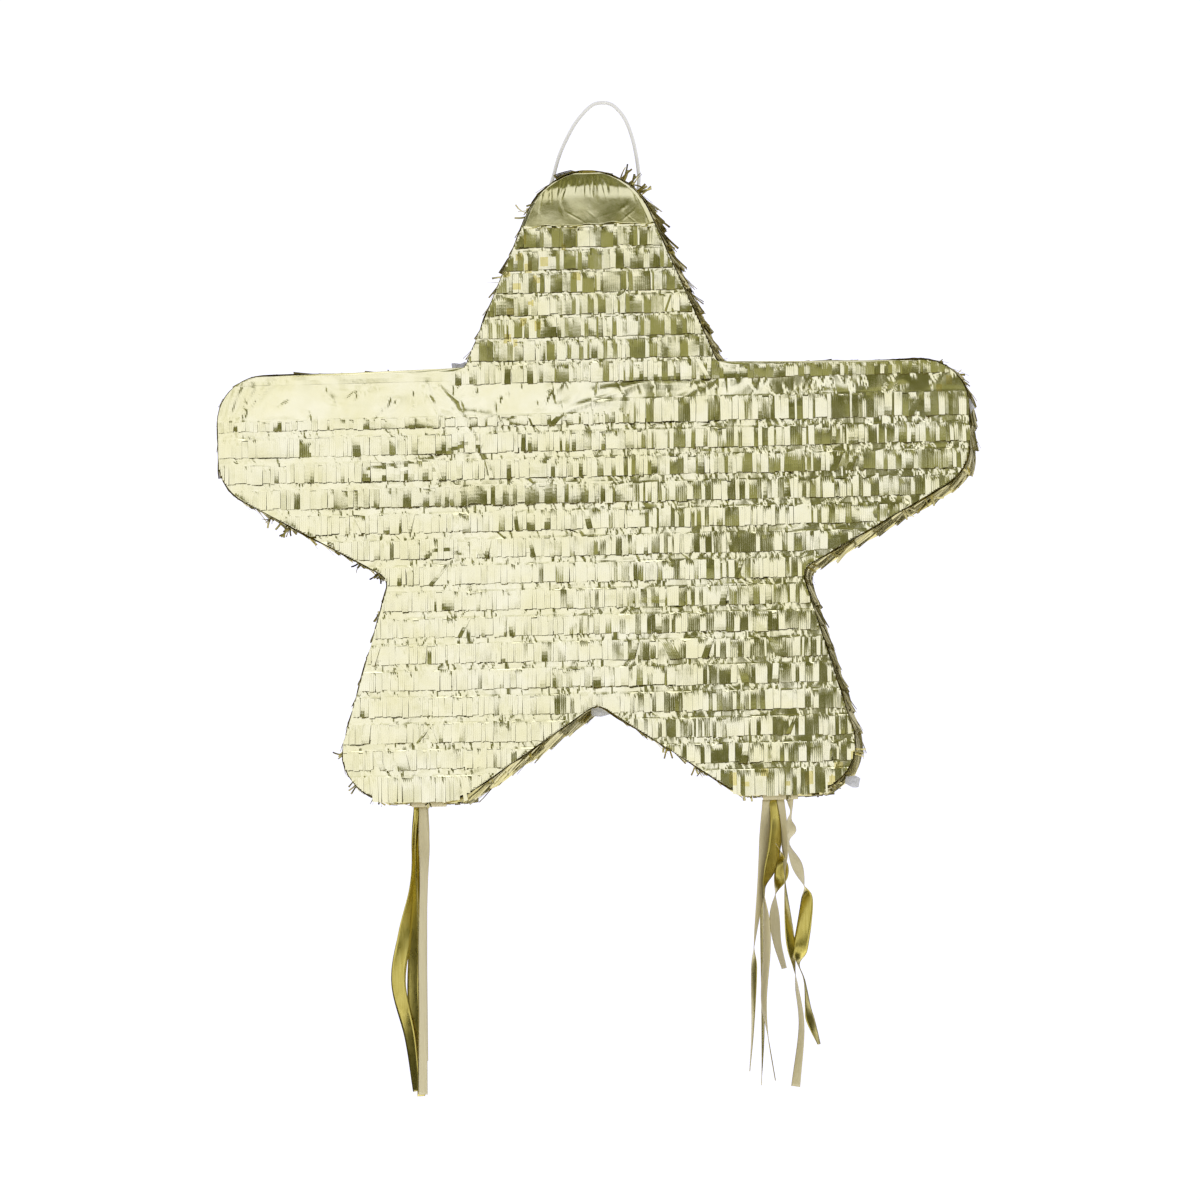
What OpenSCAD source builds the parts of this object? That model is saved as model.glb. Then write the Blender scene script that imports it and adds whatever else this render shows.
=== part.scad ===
// Star pinata: a hollow cardboard star covered with rows of slit foil, hung on a loop of cord,
// with a fill flap in its back and a ribbon-pulled trap door in the bottom of each foot.
// Frame: origin where a hook holds the cord loop, +X to the star's right, -Y to its front, +Z up.

/* [Star outline] */
// Half of the star's width over its two side arms
arm_reach = 236; // [225:1:250]
// Depth of the side arms' top edge below the hook
arm_top = 168; // [164:1:172]
// Depth of the side arms' lower tip corner below the hook
arm_low = 238; // [234:1:244]
// Half of the top arm's width where it meets the side arms
neck_half = 80; // [76:1:84]
// Half of the waist between the side arms and the legs
waist_half = 129; // [124:1:134]
// Depth of the waist below the hook
waist_drop = 297; // [292:1:302]
// Outer corner of a foot, measured from the middle
foot_outer = 171; // [166:1:176]
// Inner corner of a foot, measured from the middle
foot_inner = 87; // [82:1:92]
// Depth of the feet below the hook
foot_drop = 436; // [430:1:442]
// Depth of the crotch between the legs below the hook
crotch_drop = 378; // [372:1:384]
// Rounding of the top arm's tip
tip_round = 41; // [36:1:44]

/* [Cardboard] */
// Depth of the box between the outer faces of its two panels
box_depth = 74; // [60:1:90]
// Thickness of the cardboard
board = 2.5; // [2:0.1:3]
// Thickness of the card strip that stiffens the top arm's tip
stiffener = 1.2; // [0.8:0.1:1.5]

/* [Foil fringe] */
// Thickness of a glued row of fringe
foil_row = 0.8; // [0.5:0.1:1]
// How far the free lower edge of a row stands off its glued upper edge
row_lift = 2.6; // [2.4:0.1:3]
// How far a row laps over the one below
row_lap = 5.5; // [4:0.5:6]
// Thickness of the fringe around the edge of the star
edge_skin = 1.4; // [1:0.1:1.6]

/* [Doors] */
// Width of a trap door
door_width = 32; // [26:1:33]
// Length of a trap door from the front of the box to the back
door_length = 54; // [44:1:56]
// Width of the fill flap
flap_width = 90; // [70:1:100]
// Height of the fill flap
flap_height = 62; // [58:1:64]

/* [Cord and ribbons] */
// Diameter of the cord
cord_d = 2.4; // [2:0.1:4]
// Width of a ribbon
ribbon_width = 9.5; // [8:0.5:10]
// Thickness of a ribbon's solid
ribbon_thick = 0.4; // [0.3:0.05:0.5]

/* [Hidden] */
// Number of fringe rows on the top arm, with its foil cap as row 0, and from the arms down
top_rows = 8;
low_rows = 15;
front_rows = top_rows + low_rows;
function two_digits(k) = k < 10 ? str("0", k) : str(k);
function row_name(k) = k == 0 ? "tip_foil" : str("front_fringe_", two_digits(k));
left_count = 5;
right_count = 6;
function ribbon_name(side, k) = str(side, "_ribbon_", k + 1);

// Colours
foil_pale = [0.90, 0.87, 0.68];
foil_deep = [0.68, 0.66, 0.44];
cardboard = [0.72, 0.60, 0.44];
cord_white = [0.90, 0.90, 0.87];
ribbon_gold = [0.77, 0.72, 0.56];

// Small gap between pieces that are cut apart, and a length that is sure to cut right through
kerf = 0.4;
through = 400;
arc_step = 9;

// The board lies this far inside the outer surface of the edge fringe
skin_space = 2;
half_depth = box_depth / 2;
wall_half = half_depth - board;
tip_rise = 19;

// Corners of the outline, clockwise from the tip of the top arm: x, z and rounding radius.
// A corner's rounding keeps its centre when the outline is inset.
right_corners = [
    [neck_half, -arm_top, 8],
    [arm_reach, -arm_top, 29],
    [arm_reach, -arm_low, 31],
    [waist_half, -waist_drop, 9],
    [foot_outer, -foot_drop, 30],
    [foot_inner, -foot_drop, 30]
];
corners = concat(
    [[0, tip_rise, tip_round]],
    right_corners,
    [[0, -crotch_drop, 10]],
    [for (i = [len(right_corners) - 1:-1:0])
        [-right_corners[i][0], right_corners[i][1], right_corners[i][2]]]
);

function xz(p) = [p[0], p[1]];
function unit(v) = v / norm(v);
function turn_of(a, b) = a[0] * b[1] - a[1] * b[0];
function short_way(a) = a > 180 ? a - 360 : a < -180 ? a + 360 : a;

// Points of one rounded corner p between its neighbours, with the outline inset by d
function corner_arc(before, p, after, d) =
    let (a = unit(xz(before) - xz(p)), b = unit(xz(after) - xz(p)))
    let (half = acos(a * b) / 2)
    let (centre = xz(p) + unit(a + b) * p[2] / sin(half))
    let (start = xz(p) + a * p[2] / tan(half) - centre)
    let (stop = xz(p) + b * p[2] / tan(half) - centre)
    let (r = turn_of(a, b) > 0 ? p[2] - d : p[2] + d)
    let (a0 = atan2(start[1], start[0]), a1 = atan2(stop[1], stop[0]))
    let (sweep = short_way(a1 - a0))
    let (n = max(2, ceil(abs(sweep) / arc_step)))
    [for (i = [0:n]) centre + r * [cos(a0 + sweep * i / n), sin(a0 + sweep * i / n)]];

function star_points(d) =
    let (n = len(corners))
    [for (i = [0:n - 1])
        each corner_arc(corners[(i + n - 1) % n], corners[i], corners[(i + 1) % n], d)];

// The star's outline inset by d, as a slab between two depths
module star_slab(d, y0, y1) {
    translate([0, y1, 0])
        rotate([90, 0, 0])
            linear_extrude(y1 - y0) polygon(star_points(d));
}

// A box from its lowest corner to its highest
module block(low, high) {
    translate(low) cube(high - low);
}

// ---- Walls: five strips bent around the arms and legs, cut apart at the inner corners ----

star_centre = [0, -255];
cut_corners = [
    [neck_half, -arm_top],
    [waist_half, -waist_drop],
    [0, -crotch_drop],
    [-waist_half, -waist_drop],
    [-neck_half, -arm_top]
];
far_out = 4;
// Strip 0 is the top arm; 1 and 2 the right arm and leg; 3 and 4 the left leg and arm
function strip_wedge(k) =
    let (a = cut_corners[(k + 4) % 5] - star_centre, b = cut_corners[k % 5] - star_centre)
    [star_centre, star_centre + a * far_out, star_centre + (a + b) * far_out,
        star_centre + b * far_out];

// A skin between two insets of the outline, on one strip of the star
module strip_ring(k, outer, inner, half) {
    intersection() {
        difference() {
            star_slab(outer, -half, half);
            star_slab(inner, -half - 1, half + 1);
        }
        translate([0, through / 2, 0])
            rotate([90, 0, 0])
                linear_extrude(through) polygon(strip_wedge(k));
    }
}

module wall_strip(k) {
    strip_ring(k, skin_space, skin_space + board, wall_half);
}

// ---- Holes for the cord, in the walls of the top arm's tip ----

cord_hole_x = 28;
cord_hole_r = 4.2;
tip_centre_z = tip_rise - tip_round / sin(atan(neck_half / (tip_rise + arm_top)));
tip_board_r = tip_round - skin_space;
tip_inner_r = tip_board_r - board - stiffener;
function tip_height(r) = tip_centre_z + sqrt(r * r - cord_hole_x * cord_hole_x);
// The star swings about the middle of the two holes
pivot_z = (tip_height(tip_board_r) + tip_height(tip_inner_r)) / 2;

module cord_holes(r) {
    for (side = [-1, 1])
        translate([side * cord_hole_x, 0, -90]) cylinder(h = 60, r = r, $fn = 48);
}

module top_arm_wall() {
    color(cardboard) difference() {
        wall_strip(0);
        cord_holes(cord_hole_r);
    }
}

stiffener_half = 16;
stiffener_low = -74;
module cap_stiffener() {
    color(cardboard) difference() {
        intersection() {
            strip_ring(0, skin_space + board, skin_space + board + stiffener, stiffener_half);
            block([-60, -stiffener_half, stiffener_low], [60, stiffener_half, 0]);
        }
        cord_holes(cord_hole_r);
    }
}

// ---- Trap doors in the flat bottoms of the feet ----

door_x = 113.5;
door_face = -foot_drop + skin_space;
door_half = door_length / 2;

// The door's place on one side, grown by a margin and between two heights
module door_block(side, margin, z0, z1) {
    half = door_width / 2 + margin;
    block([side * door_x - half, -door_half - margin, z0],
        [side * door_x + half, door_half + margin, z1]);
}

module leg_wall(side, k) {
    color(cardboard) difference() {
        wall_strip(k);
        door_block(side, kerf, door_face - 1, door_face + board + 1);
    }
}

module trap_door(side) {
    color(cardboard) door_block(side, 0, door_face, door_face + board);
}

// The fringe under a door leaves room for the ribbon tie
tie_x = 111;
tie_half = 11;
tie_r = 3;
tie_z = door_face - 4;
tie_room = 1.5;
door_foil = 1.2;
foil_gap = 0.2;
door_fringe_inset = 1;
module door_fringe(side) {
    reach = [tie_half + tie_room, tie_r + tie_room];
    color(foil_deep) difference() {
        door_block(side, -door_fringe_inset, door_face - foil_gap - door_foil, door_face - foil_gap);
        block([side * tie_x - reach[0], -reach[1], door_face - 5],
            [side * tie_x + reach[0], reach[1], door_face]);
    }
}

// ---- Panels and the fill flap ----

flap_hinge_z = -225;
flap_low_z = flap_hinge_z - flap_height;

module flap_block(margin, y0, y1, top, low) {
    half = flap_width / 2 + margin;
    block([-half, y0, low - margin], [half, y1, top + margin]);
}

module front_panel() {
    color(cardboard) star_slab(skin_space, -half_depth, -wall_half);
}

module back_panel() {
    color(cardboard) difference() {
        star_slab(skin_space, wall_half, half_depth);
        flap_block(kerf, wall_half - 1, half_depth + 1, flap_hinge_z, flap_low_z);
    }
}

module fill_flap() {
    color(cardboard) flap_block(0, wall_half, half_depth, flap_hinge_z, flap_low_z);
}

// ---- Rows of fringe ----

tip_line = 77.5;
top_pitch = 14.13;
first_line = 202.9;
low_pitch = (foot_drop - first_line - 2.6) / (low_rows - 1);
cap_bend = 15.5;

// Depth below the hook of a row's free lower edge and of its glued upper edge
function row_low(k) =
    k < top_rows ? tip_line + top_pitch * k : first_line + low_pitch * (k - top_rows);
function row_high(k) =
    k == top_rows ? arm_top : row_low(k) - (k < top_rows ? top_pitch : low_pitch) - row_lap;

// A row's section: glued flat at its upper edge and lifted at its free lower edge.
// The cap has a flat part above its lifted part.
function row_section(k) =
    let (y0 = half_depth + foil_gap, y1 = y0 + row_lift)
    let (high = k == 0 ? tip_line - cap_bend : row_high(k), low = row_low(k))
    k == 0
    ? [[y0, 0], [y0, -high], [y1, -low], [y1 + foil_row, -low], [y0 + foil_row, -high],
        [y0 + foil_row, 0]]
    : [[y0, -high], [y1, -low], [y1 + foil_row, -low], [y0 + foil_row, -high]];

// A row across the whole star: front is 1 and back is -1
module fringe_row(k, front) {
    intersection() {
        star_slab(0, -half_depth * 2, half_depth * 2);
        mirror([0, front > 0 ? 1 : 0, 0])
            translate([-through, 0, 0])
                rotate([90, 0, 90])
                    linear_extrude(2 * through) polygon(row_section(k));
    }
}

module front_row(k) {
    color(k % 2 == 0 ? foil_pale : foil_deep) fringe_row(k, 1);
}

// The back's rows stop short of the flap, and the flap carries its own
flap_clear_top = 5.5;
flap_first_row = 10;
flap_last_row = 13;
flap_foil_drop = 5;
module back_rows(first, last) {
    color(foil_pale) difference() {
        for (k = [first:last]) fringe_row(k, -1);
        flap_block(tie_room, half_depth, through, flap_hinge_z + flap_clear_top - tie_room,
            flap_low_z);
    }
}

module flap_fringe() {
    color(foil_deep) intersection() {
        for (k = [flap_first_row:flap_last_row]) fringe_row(k, -1);
        flap_block(-1, half_depth, through, flap_hinge_z - flap_foil_drop, flap_low_z);
    }
}

// ---- Fringe around the edge ----

edge_outer = 0.3;
edge_half = half_depth - 0.5;
module edge_fringe(k) {
    color(foil_deep) strip_ring(k, edge_outer, edge_outer + edge_skin, edge_half);
}

fringe_hole_r = 6.5;
module top_arm_fringe() {
    difference() {
        edge_fringe(0);
        cord_holes(fringe_hole_r);
    }
}

door_margin = 3;
module leg_fringe(side, k) {
    difference() {
        edge_fringe(k);
        door_block(side, door_margin, -foot_drop - 1, door_face + 1);
    }
}

// ---- Swept cord and ribbons ----

// Two triangles between points j and j + 1 of ring i and of the next ring, with m points in each.
// The cut runs one way or the other, so that a twisted ribbon's two faces stay parallel.
function side_faces(i, j, m, flip) =
    let (a = i * m + j, b = i * m + (j + 1) % m, c = a + m, d = b + m)
    flip ? [[a, c, d], [a, d, b]] : [[a, c, b], [b, c, d]];

// The faces of a closed tube of n rings with m points each. The sides in the flipped list
// are cut along their other diagonal.
function tube_faces(n, m, flipped = []) = concat(
    [[for (j = [0:m - 1]) j]],
    [for (i = [0:n - 2], j = [0:m - 1]) each side_faces(i, j, m, len(search(j, flipped)) > 0)],
    [[for (j = [m - 1:-1:0]) (n - 1) * m + j]]
);

// Cord loop in the plane y = 0, from one hole over the hook to the other
cord_route = [
    [-28, -59.7], [-27.5, -52], [-25, -44], [-21, -31], [-16, -20], [-9, -8.5], [0, 0.5],
    [7, 2.3], [14, 0.3], [21, -8], [25.5, -20], [28, -32], [29.3, -44], [29, -52], [28, -59.7]
];
cord_sides = 8;

function cord_ring(i) =
    let (n = len(cord_route), p = cord_route[i])
    let (inner_end = i == 0 || i == n - 1)
    let (way = inner_end ? (i == 0 ? [0, 1] : [0, -1])
        : unit(cord_route[i + 1] - cord_route[i - 1]))
    [for (j = [0:cord_sides - 1])
        let (a = -360 * j / cord_sides, r = cord_d / 2)
        [p[0] - way[1] * r * cos(a), r * sin(a), p[1] + way[0] * r * cos(a)]];

module hanging_cord() {
    points = [for (i = [0:len(cord_route) - 1]) each cord_ring(i)];
    color(cord_white)
        polyhedron(points, tube_faces(len(cord_route), cord_sides), convexity = 4);
}

// The cord's two ends inside the tip: a short tail from the hole down to its knot
knot_r = 4.5;
knot_gap = 0.1;
knot_z = tip_centre_z
    + sqrt(pow(tip_inner_r - knot_r - knot_gap, 2) - cord_hole_x * cord_hole_x);
tail_top = pivot_z - 1.2;
tail_below = 9;
module cord_knots() {
    color(cord_white) for (side = [-1, 1]) translate([side * cord_hole_x, 0, 0]) {
        translate([0, 0, knot_z]) sphere(r = knot_r, $fn = 48);
        translate([0, 0, knot_z - tail_below])
            cylinder(h = tail_top - knot_z + tail_below, d = cord_d, $fn = 24);
    }
}

// The tie that gathers a bunch of ribbons under its door
tie_flat = 2;
tie_base = tie_z - tie_flat;
module ribbon_tie(side) {
    color(ribbon_gold) difference() {
        translate([side * tie_x - tie_half, 0, tie_z])
            rotate([0, 90, 0]) cylinder(h = 2 * tie_half, r = tie_r, $fn = 48);
        translate([side * tie_x - through / 2, -10, tie_base - 10]) cube([through, 20, 10]);
    }
}

// Ribbons: each point is x, y, depth below the hook, and the turn of the ribbon's width
// away from facing the front. The first point lies on the tie.
left_routes = [
    [[-115, -2.0, 0, 0], [-114.5, -3.5, 470, 0], [-115.6, -6, 520, 5], [-116.4, -6, 570, 0],
        [-117.5, -5, 621, 10]],
    [[-117, -1.0, 0, 0], [-117.6, -1, 470, 0], [-118.2, -2.5, 520, 0], [-118.5, -2.5, 570, 5],
        [-119, -2, 622, 0]],
    [[-118.5, 0, 0, 0], [-120.1, 1, 470, 0], [-122, 1, 530, 0], [-121.6, 1, 580, -5],
        [-119.5, 1, 621, 0]],
    [[-118, 1.0, 0, 0], [-120.9, 3.5, 490, 5], [-128.4, 4.5, 525, 10], [-132, 4.5, 550, 0],
        [-126.5, 4.5, 585, -5], [-123, 4.5, 619, 0]],
    [[-114, 2.0, 0, 0], [-115.5, 6, 470, 0], [-116.5, 8, 530, 5], [-117, 8, 600, 0]]
];
right_routes = [
    [[102, -2.0, 0, 0], [100.4, -3.5, 465, 0], [97.4, -8, 500, 5], [93.5, -9, 530, 0],
        [92, -9, 570, 5], [89, -9, 610, 0]],
    [[106, -1.2, 0, 0], [107.1, -1.5, 465, 0], [100.3, -5, 495, 5], [100.8, -6, 540, 0],
        [99, -6, 575, -5], [104.8, -6, 616, 0]],
    [[111, -0.4, 0, 0], [112.8, 0.5, 465, 0], [113.5, -2.5, 500, 0], [116.9, -3, 540, 5],
        [121.2, -3, 580, 0], [117, -3, 620, -5]],
    [[117, 0.4, 0, 0], [115.6, 3, 465, 0], [124.8, 1, 494, 5], [124.4, 1, 518, 0],
        [120, 1, 543, -5], [125.5, 1, 571, 0], [132, 1, 594, 10]],
    [[109, 1.2, 0, 0], [109.6, 5.5, 470, 0], [110.4, 5.3, 486, 0], [106, 5, 515, 0],
        [111, 5, 546, 10]],
    [[104, 2.0, 0, 0], [101, 8, 470, 0], [97.2, 9, 520, 0], [96.8, 9, 560, 5],
        [96.4, 9, 585, 0], [95, 9, 619, 0]]
];

// The tie is narrower than the ribbons are wide, so each is gathered at its upper end
gather = 0.5;
function ribbon_ring(p, first) =
    let (w = ribbon_width / 2 * (first ? gather : 1), t = ribbon_thick / 2)
    let (z = first ? tie_base : -p[2], across = [cos(p[3]), sin(p[3])])
    let (along = [-across[1], across[0]], mid = [p[0], p[1]])
    [for (c = [[-1, -1], [-1, 1], [1, 1], [1, -1]])
        let (q = mid + across * w * c[0] + along * t * c[1])
        [q[0], q[1], z]];

module ribbon(route) {
    points = [for (i = [0:len(route) - 1]) each ribbon_ring(route[i], i == 0)];
    color(ribbon_gold) polyhedron(points, tube_faces(len(route), 4, [3]), convexity = 4);
}

front_panel();
back_panel();
fill_flap();
cap_stiffener();
top_arm_wall();
color(cardboard) wall_strip(1);  // right_arm_wall
leg_wall(1, 2);  // right_leg_wall
leg_wall(-1, 3);  // left_leg_wall
color(cardboard) wall_strip(4);  // left_arm_wall
trap_door(-1);  // left_trap_door
trap_door(1);  // right_trap_door
hanging_cord();
cord_knots();
for (k = [0:front_rows - 1])
    front_row(k);
back_rows(0, top_rows - 1);  // back_fringe_upper
back_rows(top_rows, front_rows - 1);  // back_fringe_lower
flap_fringe();
top_arm_fringe();
edge_fringe(1);  // right_arm_fringe
leg_fringe(1, 2);  // right_leg_fringe
leg_fringe(-1, 3);  // left_leg_fringe
edge_fringe(4);  // left_arm_fringe
door_fringe(-1);  // left_door_fringe
door_fringe(1);  // right_door_fringe
ribbon_tie(-1);  // left_ribbon_tie
ribbon_tie(1);  // right_ribbon_tie
for (k = [0:left_count - 1])
    ribbon(left_routes[k]);
for (k = [0:right_count - 1])
    ribbon(right_routes[k]);
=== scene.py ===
import math

import bpy
import numpy as np
from mathutils import Matrix, Vector


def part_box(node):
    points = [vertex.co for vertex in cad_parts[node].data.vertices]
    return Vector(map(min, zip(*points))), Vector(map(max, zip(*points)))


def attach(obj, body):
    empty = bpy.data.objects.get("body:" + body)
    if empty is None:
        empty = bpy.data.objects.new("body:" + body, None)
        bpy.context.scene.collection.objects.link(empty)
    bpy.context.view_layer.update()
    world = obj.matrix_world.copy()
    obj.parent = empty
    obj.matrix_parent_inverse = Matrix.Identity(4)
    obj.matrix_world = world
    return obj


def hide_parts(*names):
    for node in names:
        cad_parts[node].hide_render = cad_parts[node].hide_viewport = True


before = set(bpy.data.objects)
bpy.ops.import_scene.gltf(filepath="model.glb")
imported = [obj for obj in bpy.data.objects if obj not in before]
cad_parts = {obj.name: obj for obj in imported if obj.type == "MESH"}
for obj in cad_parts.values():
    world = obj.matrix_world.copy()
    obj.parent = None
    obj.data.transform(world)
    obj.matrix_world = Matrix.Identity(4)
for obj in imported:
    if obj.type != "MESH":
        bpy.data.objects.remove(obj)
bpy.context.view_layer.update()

MM = 0.001
# The foil's thickness and the width of one slit strip of it
FOIL_THICK = 0.10 * MM
STRIP_W = 1.25 * MM

# ---- Small helpers ----------------------------------------------------------------------------


def unit_rows(v):
    """Each row of v made one unit long."""
    return v / np.maximum(np.linalg.norm(v, axis=-1, keepdims=True), 1e-12)


def step(t):
    """Smooth step of t from 0 to 1."""
    t = np.clip(t, 0, 1)
    return t * t * (3 - 2 * t)


def smooth_line(points, count):
    """count points on a Catmull-Rom curve through points, evenly spaced along it."""
    p = np.array(points, float)
    p = np.vstack([2 * p[0] - p[1], p, 2 * p[-1] - p[-2]])
    fine = []
    for i in range(1, len(p) - 2):
        t = np.linspace(0, 1, 24, endpoint=False)[:, None]
        a, b, c, d = p[i - 1], p[i], p[i + 1], p[i + 2]
        fine.append(0.5 * (2 * b + (c - a) * t + (2 * a - 5 * b + 4 * c - d) * t ** 2
                           + (3 * b - a - 3 * c + d) * t ** 3))
    fine = np.vstack(fine + [p[-2]])
    run = np.concatenate([[0], np.cumsum(np.linalg.norm(np.diff(fine[:, :3], axis=0), axis=1))])
    at = np.linspace(0, run[-1], count)
    return np.stack([np.interp(at, run, fine[:, k]) for k in range(p.shape[1])], 1)


def waves(seed, size):
    """A smooth random field of two coordinates, from about -1 to 1, with features of that size."""
    n = 7
    r = np.random.default_rng(seed)
    way = r.uniform(0, 2 * math.pi, n)
    k = 2 * math.pi / (size * r.uniform(0.7, 2.0, n))
    phase = r.uniform(0, 2 * math.pi, n)
    size_of = r.uniform(0.5, 1.0, n)
    size_of /= size_of.sum() * 0.6

    def field(x, z):
        x, z = np.broadcast_arrays(np.asarray(x, float), np.asarray(z, float))
        total = np.zeros(x.shape)
        for i in range(n):
            total += size_of[i] * np.sin(k[i] * (x * math.cos(way[i]) + z * math.sin(way[i]))
                                         + phase[i])
        return total
    return field


def make_mesh(name, verts, quads, smooth=False, slots=None):
    """An object from arrays of vertices and quads, in metres. A quad that ends with the same
    corner twice is a triangle."""
    mesh = bpy.data.meshes.new(name)
    kept, flat = np.unique(quads, return_inverse=True)
    verts, quads = np.asarray(verts)[kept], flat.reshape(quads.shape)
    sizes = np.where(quads[:, 2] == quads[:, 3], 3, 4).astype(np.int32)
    used = np.ones(quads.shape, bool)
    used[:, 3] = sizes == 4
    mesh.vertices.add(len(verts))
    mesh.vertices.foreach_set("co", np.asarray(verts, np.float32).ravel())
    mesh.loops.add(int(sizes.sum()))
    mesh.loops.foreach_set("vertex_index", quads[used].astype(np.int32))
    mesh.polygons.add(len(quads))
    mesh.polygons.foreach_set("loop_start", np.concatenate([[0], np.cumsum(sizes)[:-1]]).astype(
        np.int32))
    if slots is not None:
        mesh.polygons.foreach_set("material_index", np.asarray(slots, np.int32))
    mesh.polygons.foreach_set("use_smooth", np.full(len(quads), smooth))
    mesh.update(calc_edges=True)
    mesh.validate()
    obj = bpy.data.objects.new(name, mesh)
    bpy.context.scene.collection.objects.link(obj)
    return obj


def grid_quads(n, m):
    """Quads of an n by m grid of vertices, as an (n-1) x (m-1) x 4 array."""
    i, j = np.meshgrid(np.arange(n - 1), np.arange(m - 1), indexing="ij")
    return np.stack([i * m + j, (i + 1) * m + j, (i + 1) * m + j + 1, i * m + j + 1], -1)


def tube(rings, first_end, last_end):
    """A closed tube from n rings of m points each and the middle point of each end."""
    n, m = rings.shape[:2]
    i, j = np.meshgrid(np.arange(n - 1), np.arange(m), indexing="ij")
    k = (j + 1) % m
    walls = np.stack([i * m + j, i * m + k, (i + 1) * m + k, (i + 1) * m + j], -1)
    j = np.arange(m)
    k = (j + 1) % m
    first = np.stack([np.full(m, n * m), k, j, j], 1)
    last = np.stack([np.full(m, n * m + 1), (n - 1) * m + j, (n - 1) * m + k, (n - 1) * m + k], 1)
    verts = np.vstack([rings.reshape(-1, 3), [first_end], [last_end]])
    return verts, np.vstack([walls.reshape(-1, 4), first, last])


def square_to(across, way):
    """Unit vectors along across, made square to way."""
    return unit_rows(across - way * (across * way).sum(-1)[..., None])


def join(parts):
    """Several (vertices, quads) as one."""
    verts, quads, at = [], [], 0
    for v, q in parts:
        if len(v):
            verts.append(v)
            quads.append(q + at)
            at += len(v)
    return np.vstack(verts), np.vstack(quads)


# Where a strip's flat part ends on the side that a lip bends back, as a share of half its width
LIP_FROM = 0.56
CORNERS = 5


def strips(centres, across, normals, width, lip=0.0):
    """Closed thin strips. centres, across and normals are strips x rings x 3; width is strips x
    rings. With a lip, the margin on the side away from across bends back by that much."""
    n, m = centres.shape[:2]
    side = across * (width / 2)[..., None]
    up = normals * (FOIL_THICK / 2)
    bent = normals * lip
    ring = np.stack([centres - side - up + bent, centres - side * LIP_FROM - up,
                     centres + side - up, centres + side + up, centres - side + up + bent], 2)
    verts = ring.reshape(-1, 3)
    base = (np.arange(n)[:, None, None] * m + np.arange(m - 1)[None, :, None]) * CORNERS
    j = np.arange(CORNERS)[None, None, :]
    k = (j + 1) % CORNERS
    walls = np.stack([base + j, base + CORNERS + j, base + CORNERS + k, base + k], -1)
    walls = walls.reshape(-1, 4)
    first = np.arange(n)[:, None] * m * CORNERS
    last = first + (m - 1) * CORNERS
    ends = [first + np.array([1, 2, 3, 4]), first + np.array([0, 1, 4, 4]),
            last + np.array([4, 3, 2, 1]), last + np.array([4, 1, 0, 0])]
    return verts, np.vstack([walls] + ends)


def tab_strips(centres, across, width, lip=0.0, nudge=0.0):
    """Strips of foil of one width along rows of centres, their width as near across as can be."""
    way = unit_rows(np.gradient(centres, axis=1) + nudge)
    across = square_to(across, way)
    width = np.full(centres.shape[:2], width)
    return strips(centres, across, np.cross(across, way), width, lip)


def thicken(verts, quads, offset):
    """A closed shell from an open sheet of quads: a second face moved by offset, and its rim."""
    n = len(verts)
    sides = np.vstack([quads[:, [0, 1]], quads[:, [1, 2]], quads[:, [2, 3]], quads[:, [3, 0]]])
    sides = sides[sides[:, 0] != sides[:, 1]]
    code = np.sort(sides, 1)
    code = code[:, 0].astype(np.int64) * n + code[:, 1]
    _, back, count = np.unique(code, return_inverse=True, return_counts=True)
    rim = sides[count[back] == 1]
    walls = np.stack([rim[:, 1], rim[:, 0], rim[:, 0] + n, rim[:, 1] + n], 1)
    return np.vstack([verts, verts + offset]), np.vstack([quads, quads[:, ::-1] + n, walls])


def face_shell(gx, depth, gz, quads, front):
    """A closed sheet of foil over the front or the back, from a grid of places and depths."""
    verts = np.stack([gx, -depth * front, gz], -1).reshape(-1, 3)
    return thicken(verts, quads, np.array([0.0, FOIL_THICK * front, 0.0]))


# ---- Materials --------------------------------------------------------------------------------


class Nodes:
    """Short ways to build one node material."""

    def __init__(self, name):
        self.material = bpy.data.materials.new(name)
        self.material.use_nodes = True
        self.tree = self.material.node_tree
        self.shader = self.tree.nodes["Principled BSDF"]

    def add(self, kind, inputs=(), **props):
        node = self.tree.nodes.new(kind)
        for key, value in props.items():
            setattr(node, key, value)
        for key, value in dict(inputs).items():
            self.put(node, key, value)
        return node

    def put(self, node, key, value):
        if isinstance(value, bpy.types.NodeSocket):
            self.tree.links.new(value, node.inputs[key])
        else:
            node.inputs[key].default_value = value

    def place(self, scale=(1, 1, 1)):
        spot = self.add("ShaderNodeTexCoord").outputs["Object"]
        return self.add("ShaderNodeMapping", {"Vector": spot, "Scale": scale}).outputs["Vector"]

    def noise(self, scale, detail=3.0, rough=0.55, stretch=(1, 1, 1)):
        return self.add("ShaderNodeTexNoise", {"Vector": self.place(stretch), "Scale": scale,
                                               "Detail": detail, "Roughness": rough}).outputs["Fac"]

    def ramp(self, fac, stops):
        node = self.add("ShaderNodeValToRGB", {"Fac": fac})
        while len(node.color_ramp.elements) < len(stops):
            node.color_ramp.elements.new(0.5)
        for element, (at, colour) in zip(node.color_ramp.elements, stops):
            element.position = at
            element.color = (*colour, 1)
        return node.outputs["Color"]

    def range(self, fac, low, high):
        return self.add("ShaderNodeMapRange", {"Value": fac, "From Min": 0.3, "From Max": 0.7,
                                               "To Min": low, "To Max": high}).outputs["Result"]

    def bump(self, heights):
        """Bumps one on another: each is (height, strength, distance)."""
        normal = None
        for height, strength, distance in heights:
            inputs = {"Height": height, "Strength": strength, "Distance": distance}
            if normal is not None:
                inputs["Normal"] = normal
            normal = self.add("ShaderNodeBump", inputs).outputs["Normal"]
        self.put(self.shader, "Normal", normal)

    def set(self, **sockets):
        for key, value in sockets.items():
            self.put(self.shader, key.replace("_", " "), value)


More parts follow.
